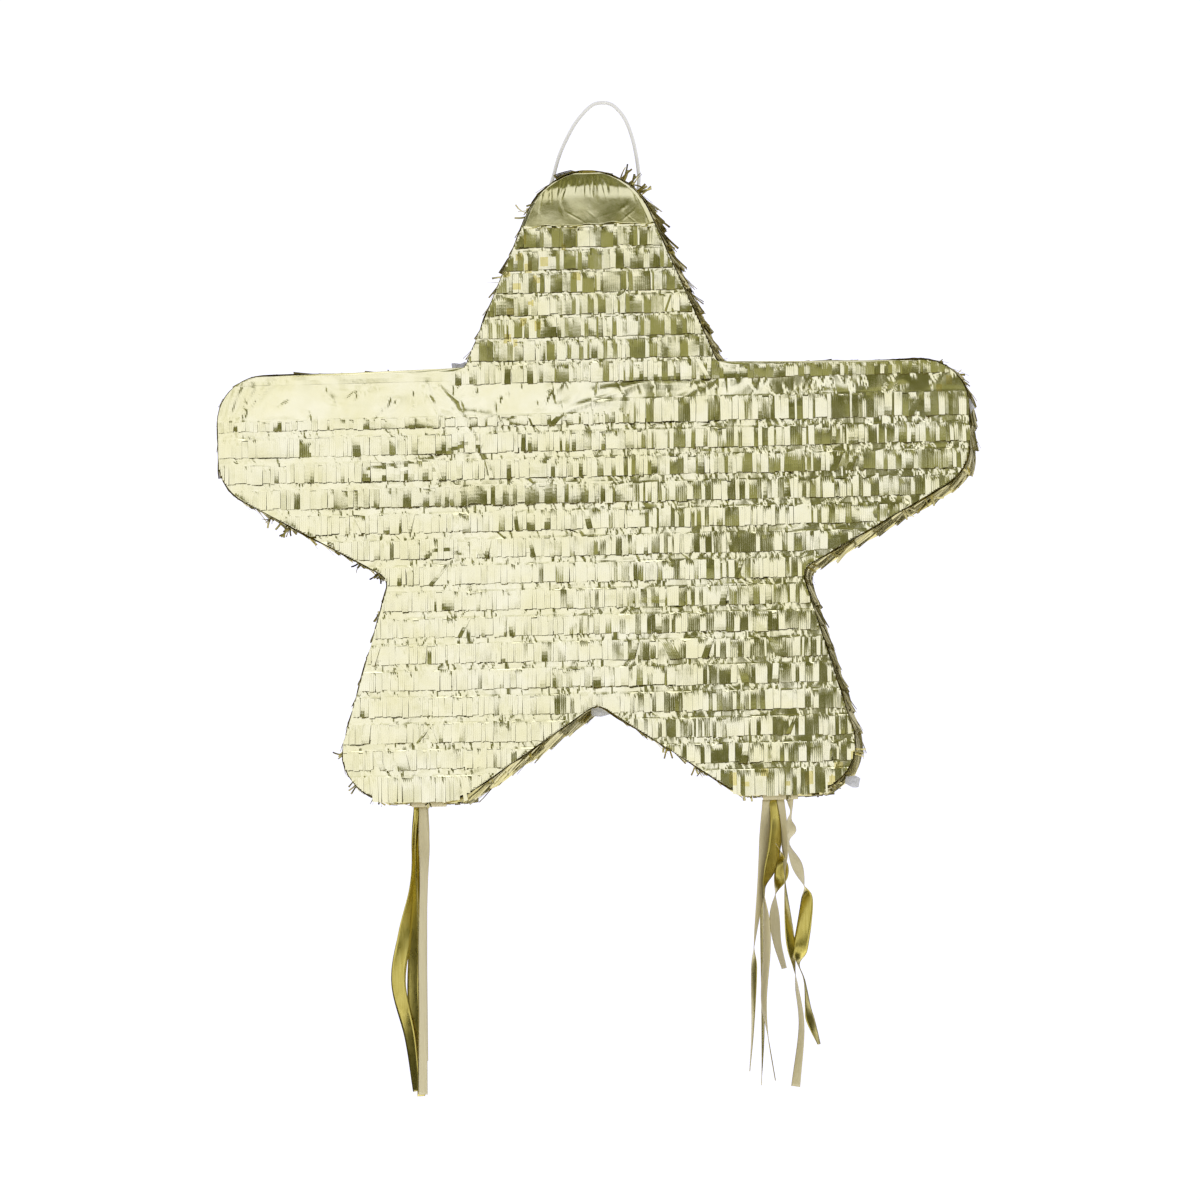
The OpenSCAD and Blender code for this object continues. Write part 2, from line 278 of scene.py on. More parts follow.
FOIL_GRAIN = (900, 900, 40)


def foil_material(name, pale, deep, rough=(0.10, 0.19), soft=0.38):
    """Metallised film: a pale gold with faint toning, fine slit lines, and soft and small dents."""
    m = Nodes(name)
    tone = m.noise(38, 4)
    m.set(Base_Color=m.ramp(tone, [(0.35, pale), (0.68, deep)]), Metallic=1.0,
          Roughness=m.range(m.noise(95, 3), *rough))
    m.bump([(m.noise(48, 2, 0.5, (1, 1, 0.7)), soft, 0.0018), (m.noise(210, 2), 0.10, 0.0005),
            (m.noise(1.0, 2, 0.5, FOIL_GRAIN), 0.08, 0.0002)])
    return m.material


def card_material():
    """Brown card: fibres, a faint fluted pattern and small flecks."""
    m = Nodes("card")
    fibre = m.noise(1.0, 5, 0.65, (260, 260, 1400))
    fleck = m.noise(700, 2, 0.7)
    base = m.ramp(fibre, [(0.3, (0.42, 0.29, 0.17)), (0.7, (0.55, 0.41, 0.26))])
    dark = m.ramp(fleck, [(0.28, (0.55, 0.5, 0.45)), (0.42, (1, 1, 1))])
    mixed = m.add("ShaderNodeMix", data_type="RGBA", blend_type="MULTIPLY")
    m.put(mixed, 0, 1.0)
    m.put(mixed, 6, base)
    m.put(mixed, 7, dark)
    flutes = m.add("ShaderNodeTexWave", {"Vector": m.place(), "Scale": 55.0, "Distortion": 0.4},
                   bands_direction="X").outputs["Fac"]
    m.set(Base_Color=mixed.outputs[2], Roughness=m.range(fibre, 0.75, 0.95))
    m.bump([(flutes, 0.12, 0.0004), (fibre, 0.25, 0.0002)])
    return m.material


def cord_material():
    """Off-white spun cotton: soft fibres and a little shading between them."""
    m = Nodes("cord_cotton")
    fibre = m.noise(1.0, 4, 0.6, (1800, 1800, 500))
    m.set(Base_Color=m.ramp(fibre, [(0.3, (0.60, 0.59, 0.50)), (0.65, (0.68, 0.67, 0.57))]),
          Roughness=m.range(m.noise(600), 0.75, 0.95), Sheen_Weight=0.3)
    m.bump([(fibre, 0.25, 0.0002)])
    return m.material


def ribbon_material(name, pale, deep, metal, rough):
    """One face of the ribbon: fine lengthways lines, and soft creases across."""
    m = Nodes(name)
    line = m.noise(1.0, 3, 0.6, (2400, 2400, 18))
    m.set(Base_Color=m.ramp(line, [(0.3, deep), (0.7, pale)]), Metallic=metal,
          Roughness=m.range(m.noise(160), *rough))
    m.bump([(line, 0.12, 0.0002), (m.noise(1.0, 2, 0.5, (60, 60, 260)), 0.2, 0.0005)])
    return m.material


def tissue_material():
    """Thin greyish paper that lets some light through."""
    m = Nodes("tissue")
    fibre = m.noise(500, 4)
    m.set(Base_Color=m.ramp(fibre, [(0.3, (0.42, 0.42, 0.39)), (0.7, (0.56, 0.56, 0.52))]),
          Roughness=m.range(fibre, 0.5, 0.7), Alpha=0.8)
    m.bump([(fibre, 0.3, 0.0003)])
    return m.material


FOIL = foil_material("foil_front", (0.90, 0.870, 0.590), (0.86, 0.82, 0.48))
# A dark foil for the faces that don't face outwards: painted shade in the gaps behind the tabs
FOIL_INNER_SHADE = foil_material("foil_inner_painted_shade", (0.30, 0.26, 0.10), (0.20, 0.17, 0.06), (0.45, 0.6))
# A darker copy of the foil for the cap: a painted dark reflection
FOIL_CAP_SHADE = foil_material("foil_cap", (0.77, 0.74, 0.44), (0.69, 0.65, 0.32), (0.14, 0.24), 0.4)
# A darker, browner copy of the foil for the edges, the doors' undersides and the tufts: painted
# shade
FOIL_EDGE_SHADE = foil_material("foil_edge_painted_shade", (0.62, 0.56, 0.26), (0.42, 0.37, 0.13), (0.2, 0.36))
# A warmer gold for small spots of the front: a painted glint where foil reflects foil
FOIL_PAINTED_GLINT = foil_material("foil_painted_glint", (0.82, 0.74, 0.33), (0.72, 0.63, 0.21), (0.14, 0.24), 0.4)
CARD = card_material()
CORD = cord_material()
RIBBON_FACE = ribbon_material("ribbon_gold", (0.66, 0.57, 0.16), (0.46, 0.38, 0.07), 1.0,
                              (0.24, 0.36))
RIBBON_BACK = ribbon_material("ribbon_tan", (0.55, 0.49, 0.27), (0.44, 0.39, 0.20), 0.0,
                              (0.45, 0.60))
TISSUE = tissue_material()


def finish_piece(obj, body, materials, nodes=()):
    """Gives a piece its materials and body, and hides the CAD nodes that it stands for."""
    for material in materials:
        obj.data.materials.append(material)
    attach(obj, body)
    if nodes:
        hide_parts(*nodes)
    return obj


# ---- Camera, in the photograph's place --------------------------------------------------------

LENS = 250
SENSOR = 36
DISTANCE = 5.25
AIM = Vector((-0.0004, 0.0, -0.3119))
AZIMUTH, ELEVATION, ROLL = (math.radians(a) for a in (5.0, -2.5, 1.1))


def make_camera():
    """The camera that the photograph seems to have been taken with."""
    data = bpy.data.cameras.new("camera")
    data.lens = LENS
    data.sensor_width = SENSOR
    cam = bpy.data.objects.new("camera", data)
    bpy.context.scene.collection.objects.link(cam)
    back = Vector((math.sin(AZIMUTH) * math.cos(ELEVATION),
                   -math.cos(AZIMUTH) * math.cos(ELEVATION), math.sin(ELEVATION)))
    level = Vector((0, 0, 1)).cross(back).normalized()
    upright = back.cross(level)
    right = level * math.cos(ROLL) - upright * math.sin(ROLL)
    up = level * math.sin(ROLL) + upright * math.cos(ROLL)
    place = AIM + back * DISTANCE
    cam.matrix_world = Matrix(((right.x, up.x, back.x, place.x), (right.y, up.y, back.y, place.y),
                               (right.z, up.z, back.z, place.z), (0, 0, 0, 1)))
    bpy.context.scene.camera = cam


make_camera()

# ---- Hanging cord and its knots ---------------------------------------------------------------

CORD_D = 2.4 * MM
# The cord's middle line, x and z in mm, from its left end in the tip to its right one
CORD_ROUTE = [(-28, -59.7), (-27.5, -52), (-25, -44), (-21, -31), (-16, -20), (-9, -8.5),
              (0, 0.5), (7, 2.3), (14, 0.3), (21, -8), (25.5, -20), (28, -32), (29.3, -44),
              (29, -52), (28, -59.7)]


STRANDS = 3
TWIST_PITCH = 5.6 * MM
TUBE_SIDES = 24
GROOVE = 0.07


def twisted_tube(line, diameter, start=0.0):
    """A closed tube in metres along line, its surface the outside of strands twisted together."""
    way = unit_rows(np.gradient(line, axis=0))
    side = np.zeros_like(way)
    side[0] = unit_rows(np.cross(way[0], [0.0, 1.0, 0.01]))
    for i in range(1, len(way)):
        side[i] = unit_rows(side[i - 1] - way[i] * (side[i - 1] @ way[i]))
    other = np.cross(way, side)
    run = np.concatenate([[0], np.cumsum(np.linalg.norm(np.diff(line, axis=0), axis=1))])
    a = np.linspace(0, 2 * math.pi, TUBE_SIDES, endpoint=False)
    turn = start + run * 2 * math.pi / TWIST_PITCH
    lobe = np.abs(np.cos(STRANDS / 2 * (a[None, :] - turn[:, None])))
    r = diameter / 2 * (1 - GROOVE + GROOVE * np.sqrt(lobe))
    rings = (line[:, None] + side[:, None] * (r * np.cos(a))[..., None]
             + other[:, None] * (r * np.sin(a))[..., None])
    return tube(rings, line[0], line[-1])


def make_cord():
    """The loop that the star hangs on."""
    route = [(x * MM, 0.0, z * MM) for x, z in CORD_ROUTE]
    line = smooth_line(route, 260)
    cord = make_mesh("cord_loop", *twisted_tube(line, CORD_D), True)
    finish_piece(cord, "loop", [CORD], ["hanging_cord"])
    path = smooth_line(route, 34)


KNOT_CORD_D = 2.6 * MM
KNOT_SIZE = 1.05 * MM
KNOT_IN = 4.5 * MM
KNOT_DOWN = 10.5 * MM


def make_knots():
    """A knot and a short tail at each end of the cord, inside the tip."""
    low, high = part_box("cord_knots")
    parts = []
    for side in (-1, 1):
        x = side * (high.x - KNOT_IN)
        centre = np.array([x, 0.0, high.z - KNOT_DOWN])
        t = np.linspace(0, 2 * math.pi, 120, endpoint=False)
        trefoil = np.stack([np.sin(t) + 2 * np.sin(2 * t), np.cos(t) - 2 * np.cos(2 * t),
                            -np.sin(3 * t) * 1.2], 1)
        knot = centre + trefoil[:, [0, 2, 1]] * KNOT_SIZE
        parts.append(twisted_tube(np.vstack([knot, knot[:1]]), KNOT_CORD_D, side))
        tail = smooth_line([(x, 0, high.z), (x, 0, high.z - 5 * MM),
                            (x + MM, 0, high.z - 12 * MM), (x - MM, 0, low.z)], 60)
        parts.append(twisted_tube(tail, CORD_D * 0.97))
    knots = make_mesh("cord_knots_tied", *join(parts), True)
    finish_piece(knots, "star", [CORD], ["cord_knots"])


make_cord()
make_knots()

# ---- Ribbons ----------------------------------------------------------------------------------

RIBBON_W = 9.5 * MM
TIE_BASE = 440
# Each point is x, y, depth below the hook, as in the CAD, then the turn of the ribbon's width
# away from facing the front, in degrees. The first point lies on the tie.
RIBBONS = {
    "left_ribbon_1": [(-115, -1.0, TIE_BASE, 0), (-114.5, 0, 462, 46), (-114.5, -5, 486, 64),
                      (-116, -6, 530, 66), (-116.5, -6, 575, 65), (-117.5, -5, 621, 60)],
    "left_ribbon_2": [(-117, 0, TIE_BASE, 10), (-117.5, 0.5, 462, 50), (-118, -2.5, 500, 76),
                      (-118.5, -2.5, 570, 78), (-119, -2, 622, 66)],
    "left_ribbon_3": [(-118.5, 0, TIE_BASE, 0), (-120, 1.5, 462, -44), (-120.5, 1, 495, -50),
                      (-123.2, 1, 543, -36), (-123.2, 1, 565, -36), (-121, 1, 590, -52),
                      (-119.5, 1, 621, -60)],
    "left_ribbon_4": [(-118, 1.0, TIE_BASE, 0), (-119.5, 3.5, 470, 50), (-121, 4.5, 492, 34),
                      (-128, 4.5, 520, 12), (-133, 4.5, 550, -8), (-126.5, 4.5, 585, -40),
                      (-123, 4.5, 619, -58)],
    "left_ribbon_5": [(-114, 2.0, TIE_BASE, 0), (-115.5, 6, 470, 60), (-116.5, 8, 530, 74),
                      (-117, 8, 600, 76)],
    "right_ribbon_1": [(102, -1.0, TIE_BASE, 0), (100.8, 0.5, 460, 46), (98.8, -7, 490, 60),
                       (93.6, -9, 529, 90), (93, -9, 546, 117), (91.4, -9, 583, 104),
                       (89, -9, 610, 96)],
    "right_ribbon_2": [(106, -0.6, TIE_BASE, 0), (107.6, -0.2, 453, 34), (106.8, -0.5, 469, 40),
                       (103.6, -5, 484, 50), (100, -6, 496, 88), (101, -6, 516, 120),
                       (101, -6, 535, 122), (98.5, -6, 566, 116), (101, -6, 590, 94),
                       (104.8, -6, 616, 92)],
    "right_ribbon_3": [(111, -0.2, TIE_BASE, 0), (112.4, 1, 458, -52), (113.2, 0, 474, -66),
                       (112.8, -2.5, 491, -88), (115.3, -3, 527, -122), (117.5, -3, 545, -96),
                       (119, -3, 558, -74), (121.4, -3, 583, -64), (117, -3, 620, -50)],
    "right_ribbon_4": [(117, 0.4, TIE_BASE, 30), (117.6, 2, 447, 82), (116.2, 3, 453, 70),
                       (117.4, 3, 459, 50), (115.4, 3, 467, 88), (120.4, 1, 481, 46),
                       (124.8, 1, 494, 92), (126.4, 1, 502, 142), (124.4, 1, 518, 166),
                       (121.6, 1, 533, 190), (120, 1, 543, 264), (123.6, 1, 554, 268),
                       (125.5, 1, 571, 250), (127, 1, 579, 238), (132, 1, 594, 262)],
    "right_ribbon_5": [(109, 1.2, TIE_BASE, 0), (109, 3.5, 460, 30), (110, 5, 474, 110),
                       (110.4, 5, 486, 164), (106.5, 5, 499, 96), (105.5, 5, 514, 52),
                       (107, 5, 530, 62), (111, 5, 546, 74)],
    "right_ribbon_6": [(104, 2.0, TIE_BASE, 0), (101, 6, 470, 60), (97.4, 9, 510, 80),
                       (96.8, 9, 565, 83), (96.4, 9, 590, 84), (95, 9, 619, 96)],
}
RIBBON_SHEET = 0.22 * MM
# Shares of a ribbon's length over which it widens from its tie and starts to cup, and how much
GATHERED = 0.16
CUP_FROM = 0.2
CUP = 1.1 * MM
# These show their gold face to the front at the tie, the others their matt one
GOLD_IN_FRONT = ("left_ribbon_2", "left_ribbon_3", "left_ribbon_4", "right_ribbon_2",
                 "right_ribbon_6")


def ribbon_sheet(line):
    """A thin ribbon along a line of x, y, z and turn, cupped a little across its width. Its
    faces start with those of its front, then as many of its back."""
    centre, turn = line[:, :3], line[:, 3]
    way = unit_rows(np.gradient(centre, axis=0))
    across = square_to(np.stack([np.cos(turn), np.sin(turn), np.zeros_like(turn)], 1), way)
    normal = np.cross(across, way)
    run = np.linspace(0, 1, len(line))
    width = RIBBON_W * (0.5 + 0.5 * step(run / GATHERED))
    cols = np.linspace(-0.5, 0.5, 7)
    cup = (0.25 - cols ** 2) * CUP * step(run / CUP_FROM)[:, None]
    grid = (centre[:, None] + across[:, None] * (cols[None] * width[:, None])[..., None]
            + normal[:, None] * cup[..., None])
    quads = grid_quads(*grid.shape[:2]).reshape(-1, 4)
    offset = np.repeat(normal, grid.shape[1], 0) * RIBBON_SHEET
    return *thicken(grid.reshape(-1, 3), quads, offset), len(quads)


def make_ribbon(node, points, side):
    """A flat ribbon in its CAD node's place, gold on one face and matt on the other."""
    raw = np.array([(x * MM, y * MM, -d * MM, math.radians(a)) for x, y, d, a in points])
    line = smooth_line(raw, 90)
    verts, faces, shown = ribbon_sheet(line)
    slots = np.full(len(faces), int(node not in GOLD_IN_FRONT))
    slots[shown:2 * shown] = int(node in GOLD_IN_FRONT)
    ribbon = make_mesh(node + "_cloth", verts, faces, True, slots)
    finish_piece(ribbon, side + "_bunch", [RIBBON_FACE, RIBBON_BACK], [node])
    path = smooth_line(raw, 24)[:, :3]


for _node, _points in RIBBONS.items():
    make_ribbon(_node, _points, _node.split("_")[0])


TIE_RINGS, TIE_SIDES = 130, 28
THREAD_TURNS = 11
THREAD_GROOVE = 0.22 * MM
TIE_RADIUS = 0.6
TIE_ENDS = 0.62


def make_tie(side):
    """The wound thread that gathers a bunch: a bundle of turns round a soft core."""
    low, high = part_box(side + "_ribbon_tie")
    x = np.linspace(low.x, high.x, TIE_RINGS)
    a = np.linspace(0, 2 * math.pi, TIE_SIDES, endpoint=False)
    run = (x - low.x) / (high.x - low.x)
    top = (high.z - low.z) * TIE_RADIUS
    full = np.sqrt(np.clip(1 - np.abs(2 * run - 1) ** 6, 0, 1))
    r = top * (TIE_ENDS + (1 - TIE_ENDS) * full)
    groove = 1 - np.abs(np.sin(run[:, None] * THREAD_TURNS * math.pi + a[None] / 2))
    r = r[:, None] - THREAD_GROOVE * groove
    z0 = high.z - top
    rings = np.stack([np.broadcast_to(x[:, None], r.shape), r * np.cos(a),
                      np.maximum(z0 + r * np.sin(a), low.z)], -1)
    parts = tube(rings, [low.x, 0, z0], [high.x, 0, z0])
    tie = make_mesh(side + "_tie_thread", *parts, True)
    finish_piece(tie, side + "_bunch", [RIBBON_BACK], [side + "_ribbon_tie"])


make_tie("left")
make_tie("right")

# ---- The star's outline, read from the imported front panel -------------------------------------

# How far the glued foil of the edge lies outside the card
SKIN = 2.0 * MM


def open_edges():
    """The outer edges of the front panel's face: each corner and the one that follows it."""
    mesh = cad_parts["front_panel"].data
    co = np.array([v.co for v in mesh.vertices])
    face_y = co[:, 1].min()
    key = [tuple(np.round(c, 6)) for c in co]
    found = {}
    for poly in mesh.polygons:
        ids = list(poly.vertices)
        if poly.normal.y > -0.9 or any(co[i][1] > face_y + 1e-5 for i in ids):
            continue
        for a, b in zip(ids, ids[1:] + ids[:1]):
            if (key[b], key[a]) in found:
                del found[key[b], key[a]]
            else:
                found[key[a], key[b]] = True
    return {a: b for a, b in found}


def outline_loop():
    """The front panel's outline as an ordered loop of (x, z), clockwise from its highest point,
    moved out by the foil round the edge."""
    after = open_edges()
    start = max(after, key=lambda p: (p[2], -abs(p[0])))
    loop, at = [], start
    while True:
        loop.append((at[0], at[2]))
        at = after[at]
        if at == start or len(loop) > len(after):
            break
    loop = np.array(loop)
    area = np.sum(loop[:, 0] * np.roll(loop[:, 1], -1) - np.roll(loop[:, 0], -1) * loop[:, 1])
    if area > 0:
        loop = np.roll(loop[::-1], 1, 0)
    way = np.roll(loop, -1, 0) - loop
    out = unit_rows(np.stack([-way[:, 1], way[:, 0]], 1))
    corner = unit_rows(out + np.roll(out, 1, 0))
    return loop + corner * (SKIN / np.maximum((corner * out).sum(1), 0.5))[:, None]


LOOP = outline_loop()
SCAN_STEP = 0.4 * MM
SCAN_Z = np.arange(LOOP[:, 1].min() - 3 * MM, LOOP[:, 1].max() + 3 * MM, SCAN_STEP)


def scan():
    """For each scan height, how far the outer edge of the foil reaches, and the inner edge
    between the legs."""
    outer, inner = np.zeros(len(SCAN_Z)), np.zeros(len(SCAN_Z))
    a, b = LOOP, np.roll(LOOP, -1, 0)
    for i, z in enumerate(SCAN_Z):
        hit = (a[:, 1] > z) != (b[:, 1] > z)
        xs = a[hit, 0] + (z - a[hit, 1]) / (b[hit, 1] - a[hit, 1]) * (b[hit, 0] - a[hit, 0])
        xs = np.sort(xs[xs > 0])
        outer[i] = xs[-1] if len(xs) else 0
        inner[i] = xs[0] if len(xs) == 2 else 0
    return outer, inner


OUTER, INNER = scan()


def outer_x(z):
    """How far out the foil's edge is at height z."""
    return np.interp(z, SCAN_Z, OUTER, left=0, right=0)


def inner_x(z):
    """How far out the foil's inner edge between the legs is at height z."""
    return np.interp(z, SCAN_Z, INNER)


# ---- Foil rows on the two faces ---------------------------------------------------------------

# Depths of a row's glued upper edge and of its free lower edge, from the middle plane
GLUED_Y = abs(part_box("front_fringe_10")[1].y)
FREE_Y = abs(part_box("front_fringe_10")[0].y)
OFF_CARD = 0.2 * MM
SHORT_OF_FREE = 1.3 * MM
BULGE, BULGE_HIGH = waves(11, 0.16), 0.5 * MM
PUCKER, PUCKER_HIGH = waves(12, 0.045), 0.25 * MM
# How much of a row's pitch is slit: on the top arm, in the first band and below it
SLIT_TOP, SLIT_BAND, SLIT_SHARE = 0.90, 0.42, 0.76
NECK_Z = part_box("front_fringe_08")[1].z
NO_FOIL = (np.zeros((0, 3)), np.zeros((0, 4), int))

# Long folds in the front's foil, in mm: points (x, depth below the hook), height and half width
FOLDS = [
    ([(-140, 229), (-118, 227), (-99.5, 223), (-84, 218), (-75.4, 213)], 0.55, 2.3),
    ([(-75.4, 213), (-70, 223), (-66.9, 231.8)], 0.5, 2.0),
    ([(-104, 176), (-100, 190), (-94, 200)], 0.35, 2.4),
    ([(-96, 178), (-84, 192), (-74, 212)], 0.45, 2.6),
    ([(2, 183), (22, 180), (40, 179), (66, 180), (90.5, 177)], 0.4, 2.8),
    ([(10, 338), (11.5, 326), (17, 319), (31, 316.3), (45, 317.5), (53, 323), (55, 338)], 0.4, 2.2),
    ([(-222, 172), (-228, 188), (-230, 200)], 0.6, 2.6),
    ([(-214, 176), (-221, 190), (-222, 206)], 0.5, 2.4),
    ([(-190, 170), (-170, 176), (-164, 184)], 0.3, 2.8),
    ([(-58, 352), (-57, 372), (-55, 384)], 0.5, 1.8),
    ([(-96, 318), (-84, 330), (-80, 346)], 0.35, 2.2),
    ([(-108, 288), (-98, 281), (-84, 284)], 0.4, 2.0),
    ([(120, 192), (146, 186), (170, 190), (196, 184)], 0.35, 2.6),
]


def folds(x, z):
    """Height of the long folds at x and z on the front."""
    x, z = np.broadcast_arrays(x, z)
    total = np.zeros(x.shape)
    for points, height, half in FOLDS:
        best = np.full(x.shape, 1.0)
        line = smooth_line(points, 2 * len(points))
        for (ax, az), (bx, bz) in zip(line, line[1:]):
            a, d = np.array([ax, -az]) * MM, np.array([bx - ax, az - bz]) * MM
            t = np.clip(((x - a[0]) * d[0] + (z - a[1]) * d[1]) / (d @ d), 0, 1)
            best = np.minimum(best, np.hypot(x - a[0] - t * d[0], z - a[1] - t * d[1]))
        total = np.maximum(total, height * MM * np.exp(-(best / (half * MM)) ** 2))
    return total


# Two fields whose zero lines the wrinkles follow, how wide these are there, and their heights
WANDER = waves(13, 0.060), waves(14, 0.034)
WRINKLE_WIDE = 0.22, 0.26
WRINKLE_HIGH = 0.40 * MM, 0.22 * MM


def crumple(x, z):
    """Long thin wrinkles that wander over the foil."""
    first = np.exp(-(WANDER[0](x, z * 1.4) / WRINKLE_WIDE[0]) ** 2)
    second = np.exp(-(WANDER[1](x * 0.8, z) / WRINKLE_WIDE[1]) ** 2)
    return WRINKLE_HIGH[0] * first + WRINKLE_HIGH[1] * second


def skin_depth(x, z, top, low, lift, front):
    """Depth outwards of a row's foil from the middle plane, at x and z."""
    v = np.clip((top - z) / (top - low), 0, 1.1)
    near, far = GLUED_Y + OFF_CARD, FREE_Y - SHORT_OF_FREE
    depth = near + (far - near + lift(x)) * v ** (1.0 if low > NECK_Z - 2 * MM else 1.3)
    depth = depth + BULGE(x * front, z) * BULGE_HIGH + PUCKER(x, z * front) * PUCKER_HIGH
    return depth + folds(x, z) if front > 0 else depth


def creases(rng, x, z, box, count, height, long=(2.0, 9.0), lean=0.35):
    """Sharp small folds over a patch: the sum of count ridges at random places and angles."""
    x0, x1, z0, z1 = box
    total = np.zeros(x.shape)
    cx, cz = rng.uniform(x0, x1, count), rng.uniform(z0, z1, count)
    lean = rng.normal(0, lean, count)
    wide = rng.uniform(0.7, 1.9, count) * MM
    long = rng.uniform(*long, count) * MM
    high = rng.uniform(-0.7, 1.0, count) * height
    c, s = np.cos(lean), np.sin(lean)
    for i in range(count):
        near = np.abs(x - cx[i]) < long[i] + 2 * MM
        dx, dz = x[near] - cx[i], z[near] - cz[i]
        across, along = dx * c[i] + dz * s[i], dz * c[i] - dx * s[i]
        ridge = np.clip(1 - np.abs(across) / wide[i], 0, 1)
        total[near] += high[i] * ridge * np.clip(1 - np.abs(along) / long[i], 0, 1)
    return total


# A row's uncut sheet goes on by LAP behind its tabs, and further down only as a coarse backing
LAP = 2.0 * MM
BACKING_OVER = 2.5 * MM
SHEET_RING = 0.75 * MM
TUCK = 1.0 * MM
CREASES_PER_MM = 0.36
LEAST_CELL = 0.02 * MM


def sheet_heights(top, slit, low):
    """Heights of the rings of a row's uncut sheet."""
    fine = np.linspace(top, slit - LAP, max(5, int((top - slit + LAP) / SHEET_RING)))
    return np.append(fine, np.linspace(slit - LAP, low + BACKING_OVER, 4)[1:])


def shown_cells(gx, gz, half, blocked):
    """Which cells of a sheet on one half of the star have some width and room."""
    keep = np.maximum(gx[:-1, 1:] - gx[:-1, :-1], gx[1:, 1:] - gx[1:, :-1]) > LEAST_CELL
    mid_x = (gx[:-1, 1:] + gx[:-1, :-1]) / 2 * half
    return keep & ~blocked(mid_x, (gz[:-1, 1:] + gz[1:, 1:]) / 2)


def heading(rng, half, row, front, rough, blocked):
    """The uncut upper part of a row on one half of the star, as a crinkled sheet."""
    top, slit, low, lift = row
    z = sheet_heights(top, slit, low)
    zz = np.clip(z, SCAN_Z[0], SCAN_Z[-1])
    out, inn = outer_x(zz), inner_x(zz)
    wide = out.max()
    x = np.arange(0, wide + CELL[front], CELL[front])
    if len(x) < 3:
        return NO_FOIL
    gx = np.clip(x[None, :], inn[:, None], np.maximum(out, inn)[:, None])
    gz = np.broadcast_to(z[:, None], gx.shape).copy()
    depth = skin_depth(gx * half, gz, top, low, lift, front)
    box = (0, wide, slit, top - 4 * MM)
    count = int(wide / MM * CREASES_PER_MM)
    fold = creases(rng, gx, gz, box, count, 0.5 * MM, (2.5, 8.0), 0.45)
    depth = depth + fold * rough(gx * half) + crumple(gx * half, gz)
    quads = grid_quads(*gx.shape)[shown_cells(gx, gz, half, blocked)]
    if not len(quads):
        return NO_FOIL
    quads = quads.reshape(-1, 4)[:, ::half * front]
    # Its lower part lies behind the tabs
    tuck = np.clip((slit - gz) / LAP, 0, 1) * TUCK
    depth = np.maximum(depth - tuck, GLUED_Y - 0.05 * MM)
    return face_shell(gx * half, depth, gz, quads, front)


# How many strips lie together as one tab and how often, and the gaps between tabs
TAB_COUNTS = np.array([1, 2, 3, 4, 6, 9])
TAB_SHARES = np.array([0.16, 0.40, 0.27, 0.11, 0.05, 0.01])
GAPS = np.array([0.0, 0.03, 0.08, 0.22]) * MM
GAP_SHARES = np.array([0.60, 0.25, 0.11, 0.04])


def tabs(rng, x0, x1):
    """Slit strips from x0 to x1, in groups that lie together: each strip's x, its group and the
    group's middle."""
    xs, group, centre, at, k = [], [], [], x0, 0
    while at < x1:
        n = rng.choice(TAB_COUNTS, p=TAB_SHARES)
        mid = at + n * STRIP_W / 2
        for i in range(n):
            xs.append(at + (i + 0.5) * STRIP_W)
            group.append(k)
            centre.append(mid)
        at += n * STRIP_W + rng.choice(GAPS, p=GAP_SHARES)
        k += 1
    return np.array(xs), np.array(group), np.array(centre)


# Rings of a tab and the width of a sheet's cells, on the front (1) and on the back (-1)
RINGS = {1: 7, -1: 5}
CELL = {1: 0.9 * MM, -1: 1.6 * MM}
EDGE_RINGS = 6
LIP = 0.012 * MM
FEET_Z = LOOP[:, 1].min() + 2.5 * MM
# Spreads of the tabs of a face: where their slits start and where they end, by tab and by strip
SLIT_JAG, TAB_JAG, STRIP_JAG = 1.1 * MM, 0.35 * MM, 0.06 * MM
# How many tabs are loose, and the lean of those and of the others, in degrees
LOOSE_SHARE, LOOSE_LEAN, LEAN = 0.03, 20, 0.8
LOOSE_CURL = 1.0 * MM
# Spreads of a tab's twist and of its turn at its root, in degrees
TWIST, ROOT_TAB, ROOT_STRIP = 2.6, 6, 2.0
PROBES = 15
LEAST_PROBES = 3


def strip_ends(rng, row, x, group, count):
    """The height where each strip of a row starts, and where it stops."""
    _, slit, low, _ = row
    start = slit + np.clip(rng.normal(0, SLIT_JAG, count), -3 * MM, 2.0 * MM)[group]
    jag = rng.normal(0, TAB_JAG, count)[group] + rng.normal(0, STRIP_JAG, len(x))
    stop = low + np.clip(jag, -1.2 * MM, 2.0 * MM)
    if low < FEET_Z:
        aside = np.abs(np.abs(x) - FOOT_X) / FOOT_HALF
        stop = stop + HEM * np.clip(aside, 0, 1) ** 3
    return start, stop


def inside_outline(x, start, stop, blocked):
    """Which strips lie inside the outline, and from which height to which."""
    z = start[:, None] + (stop - start)[:, None] * np.linspace(0, 1, PROBES)
    flat_x = np.broadcast_to(x[:, None], z.shape)
    level = np.maximum(z, FEET_Z)
    inside = (np.abs(flat_x) < outer_x(level)) & (np.abs(flat_x) >= inner_x(level))
    inside &= ~blocked(flat_x, z)
    first = np.argmax(inside, 1)
    last = PROBES - 1 - np.argmax(inside[:, ::-1], 1)
    keep = inside.any(1) & (last - first >= LEAST_PROBES)
    rows = np.flatnonzero(keep)
    return keep, z[rows, first[keep]][:, None], z[rows, last[keep]][:, None]


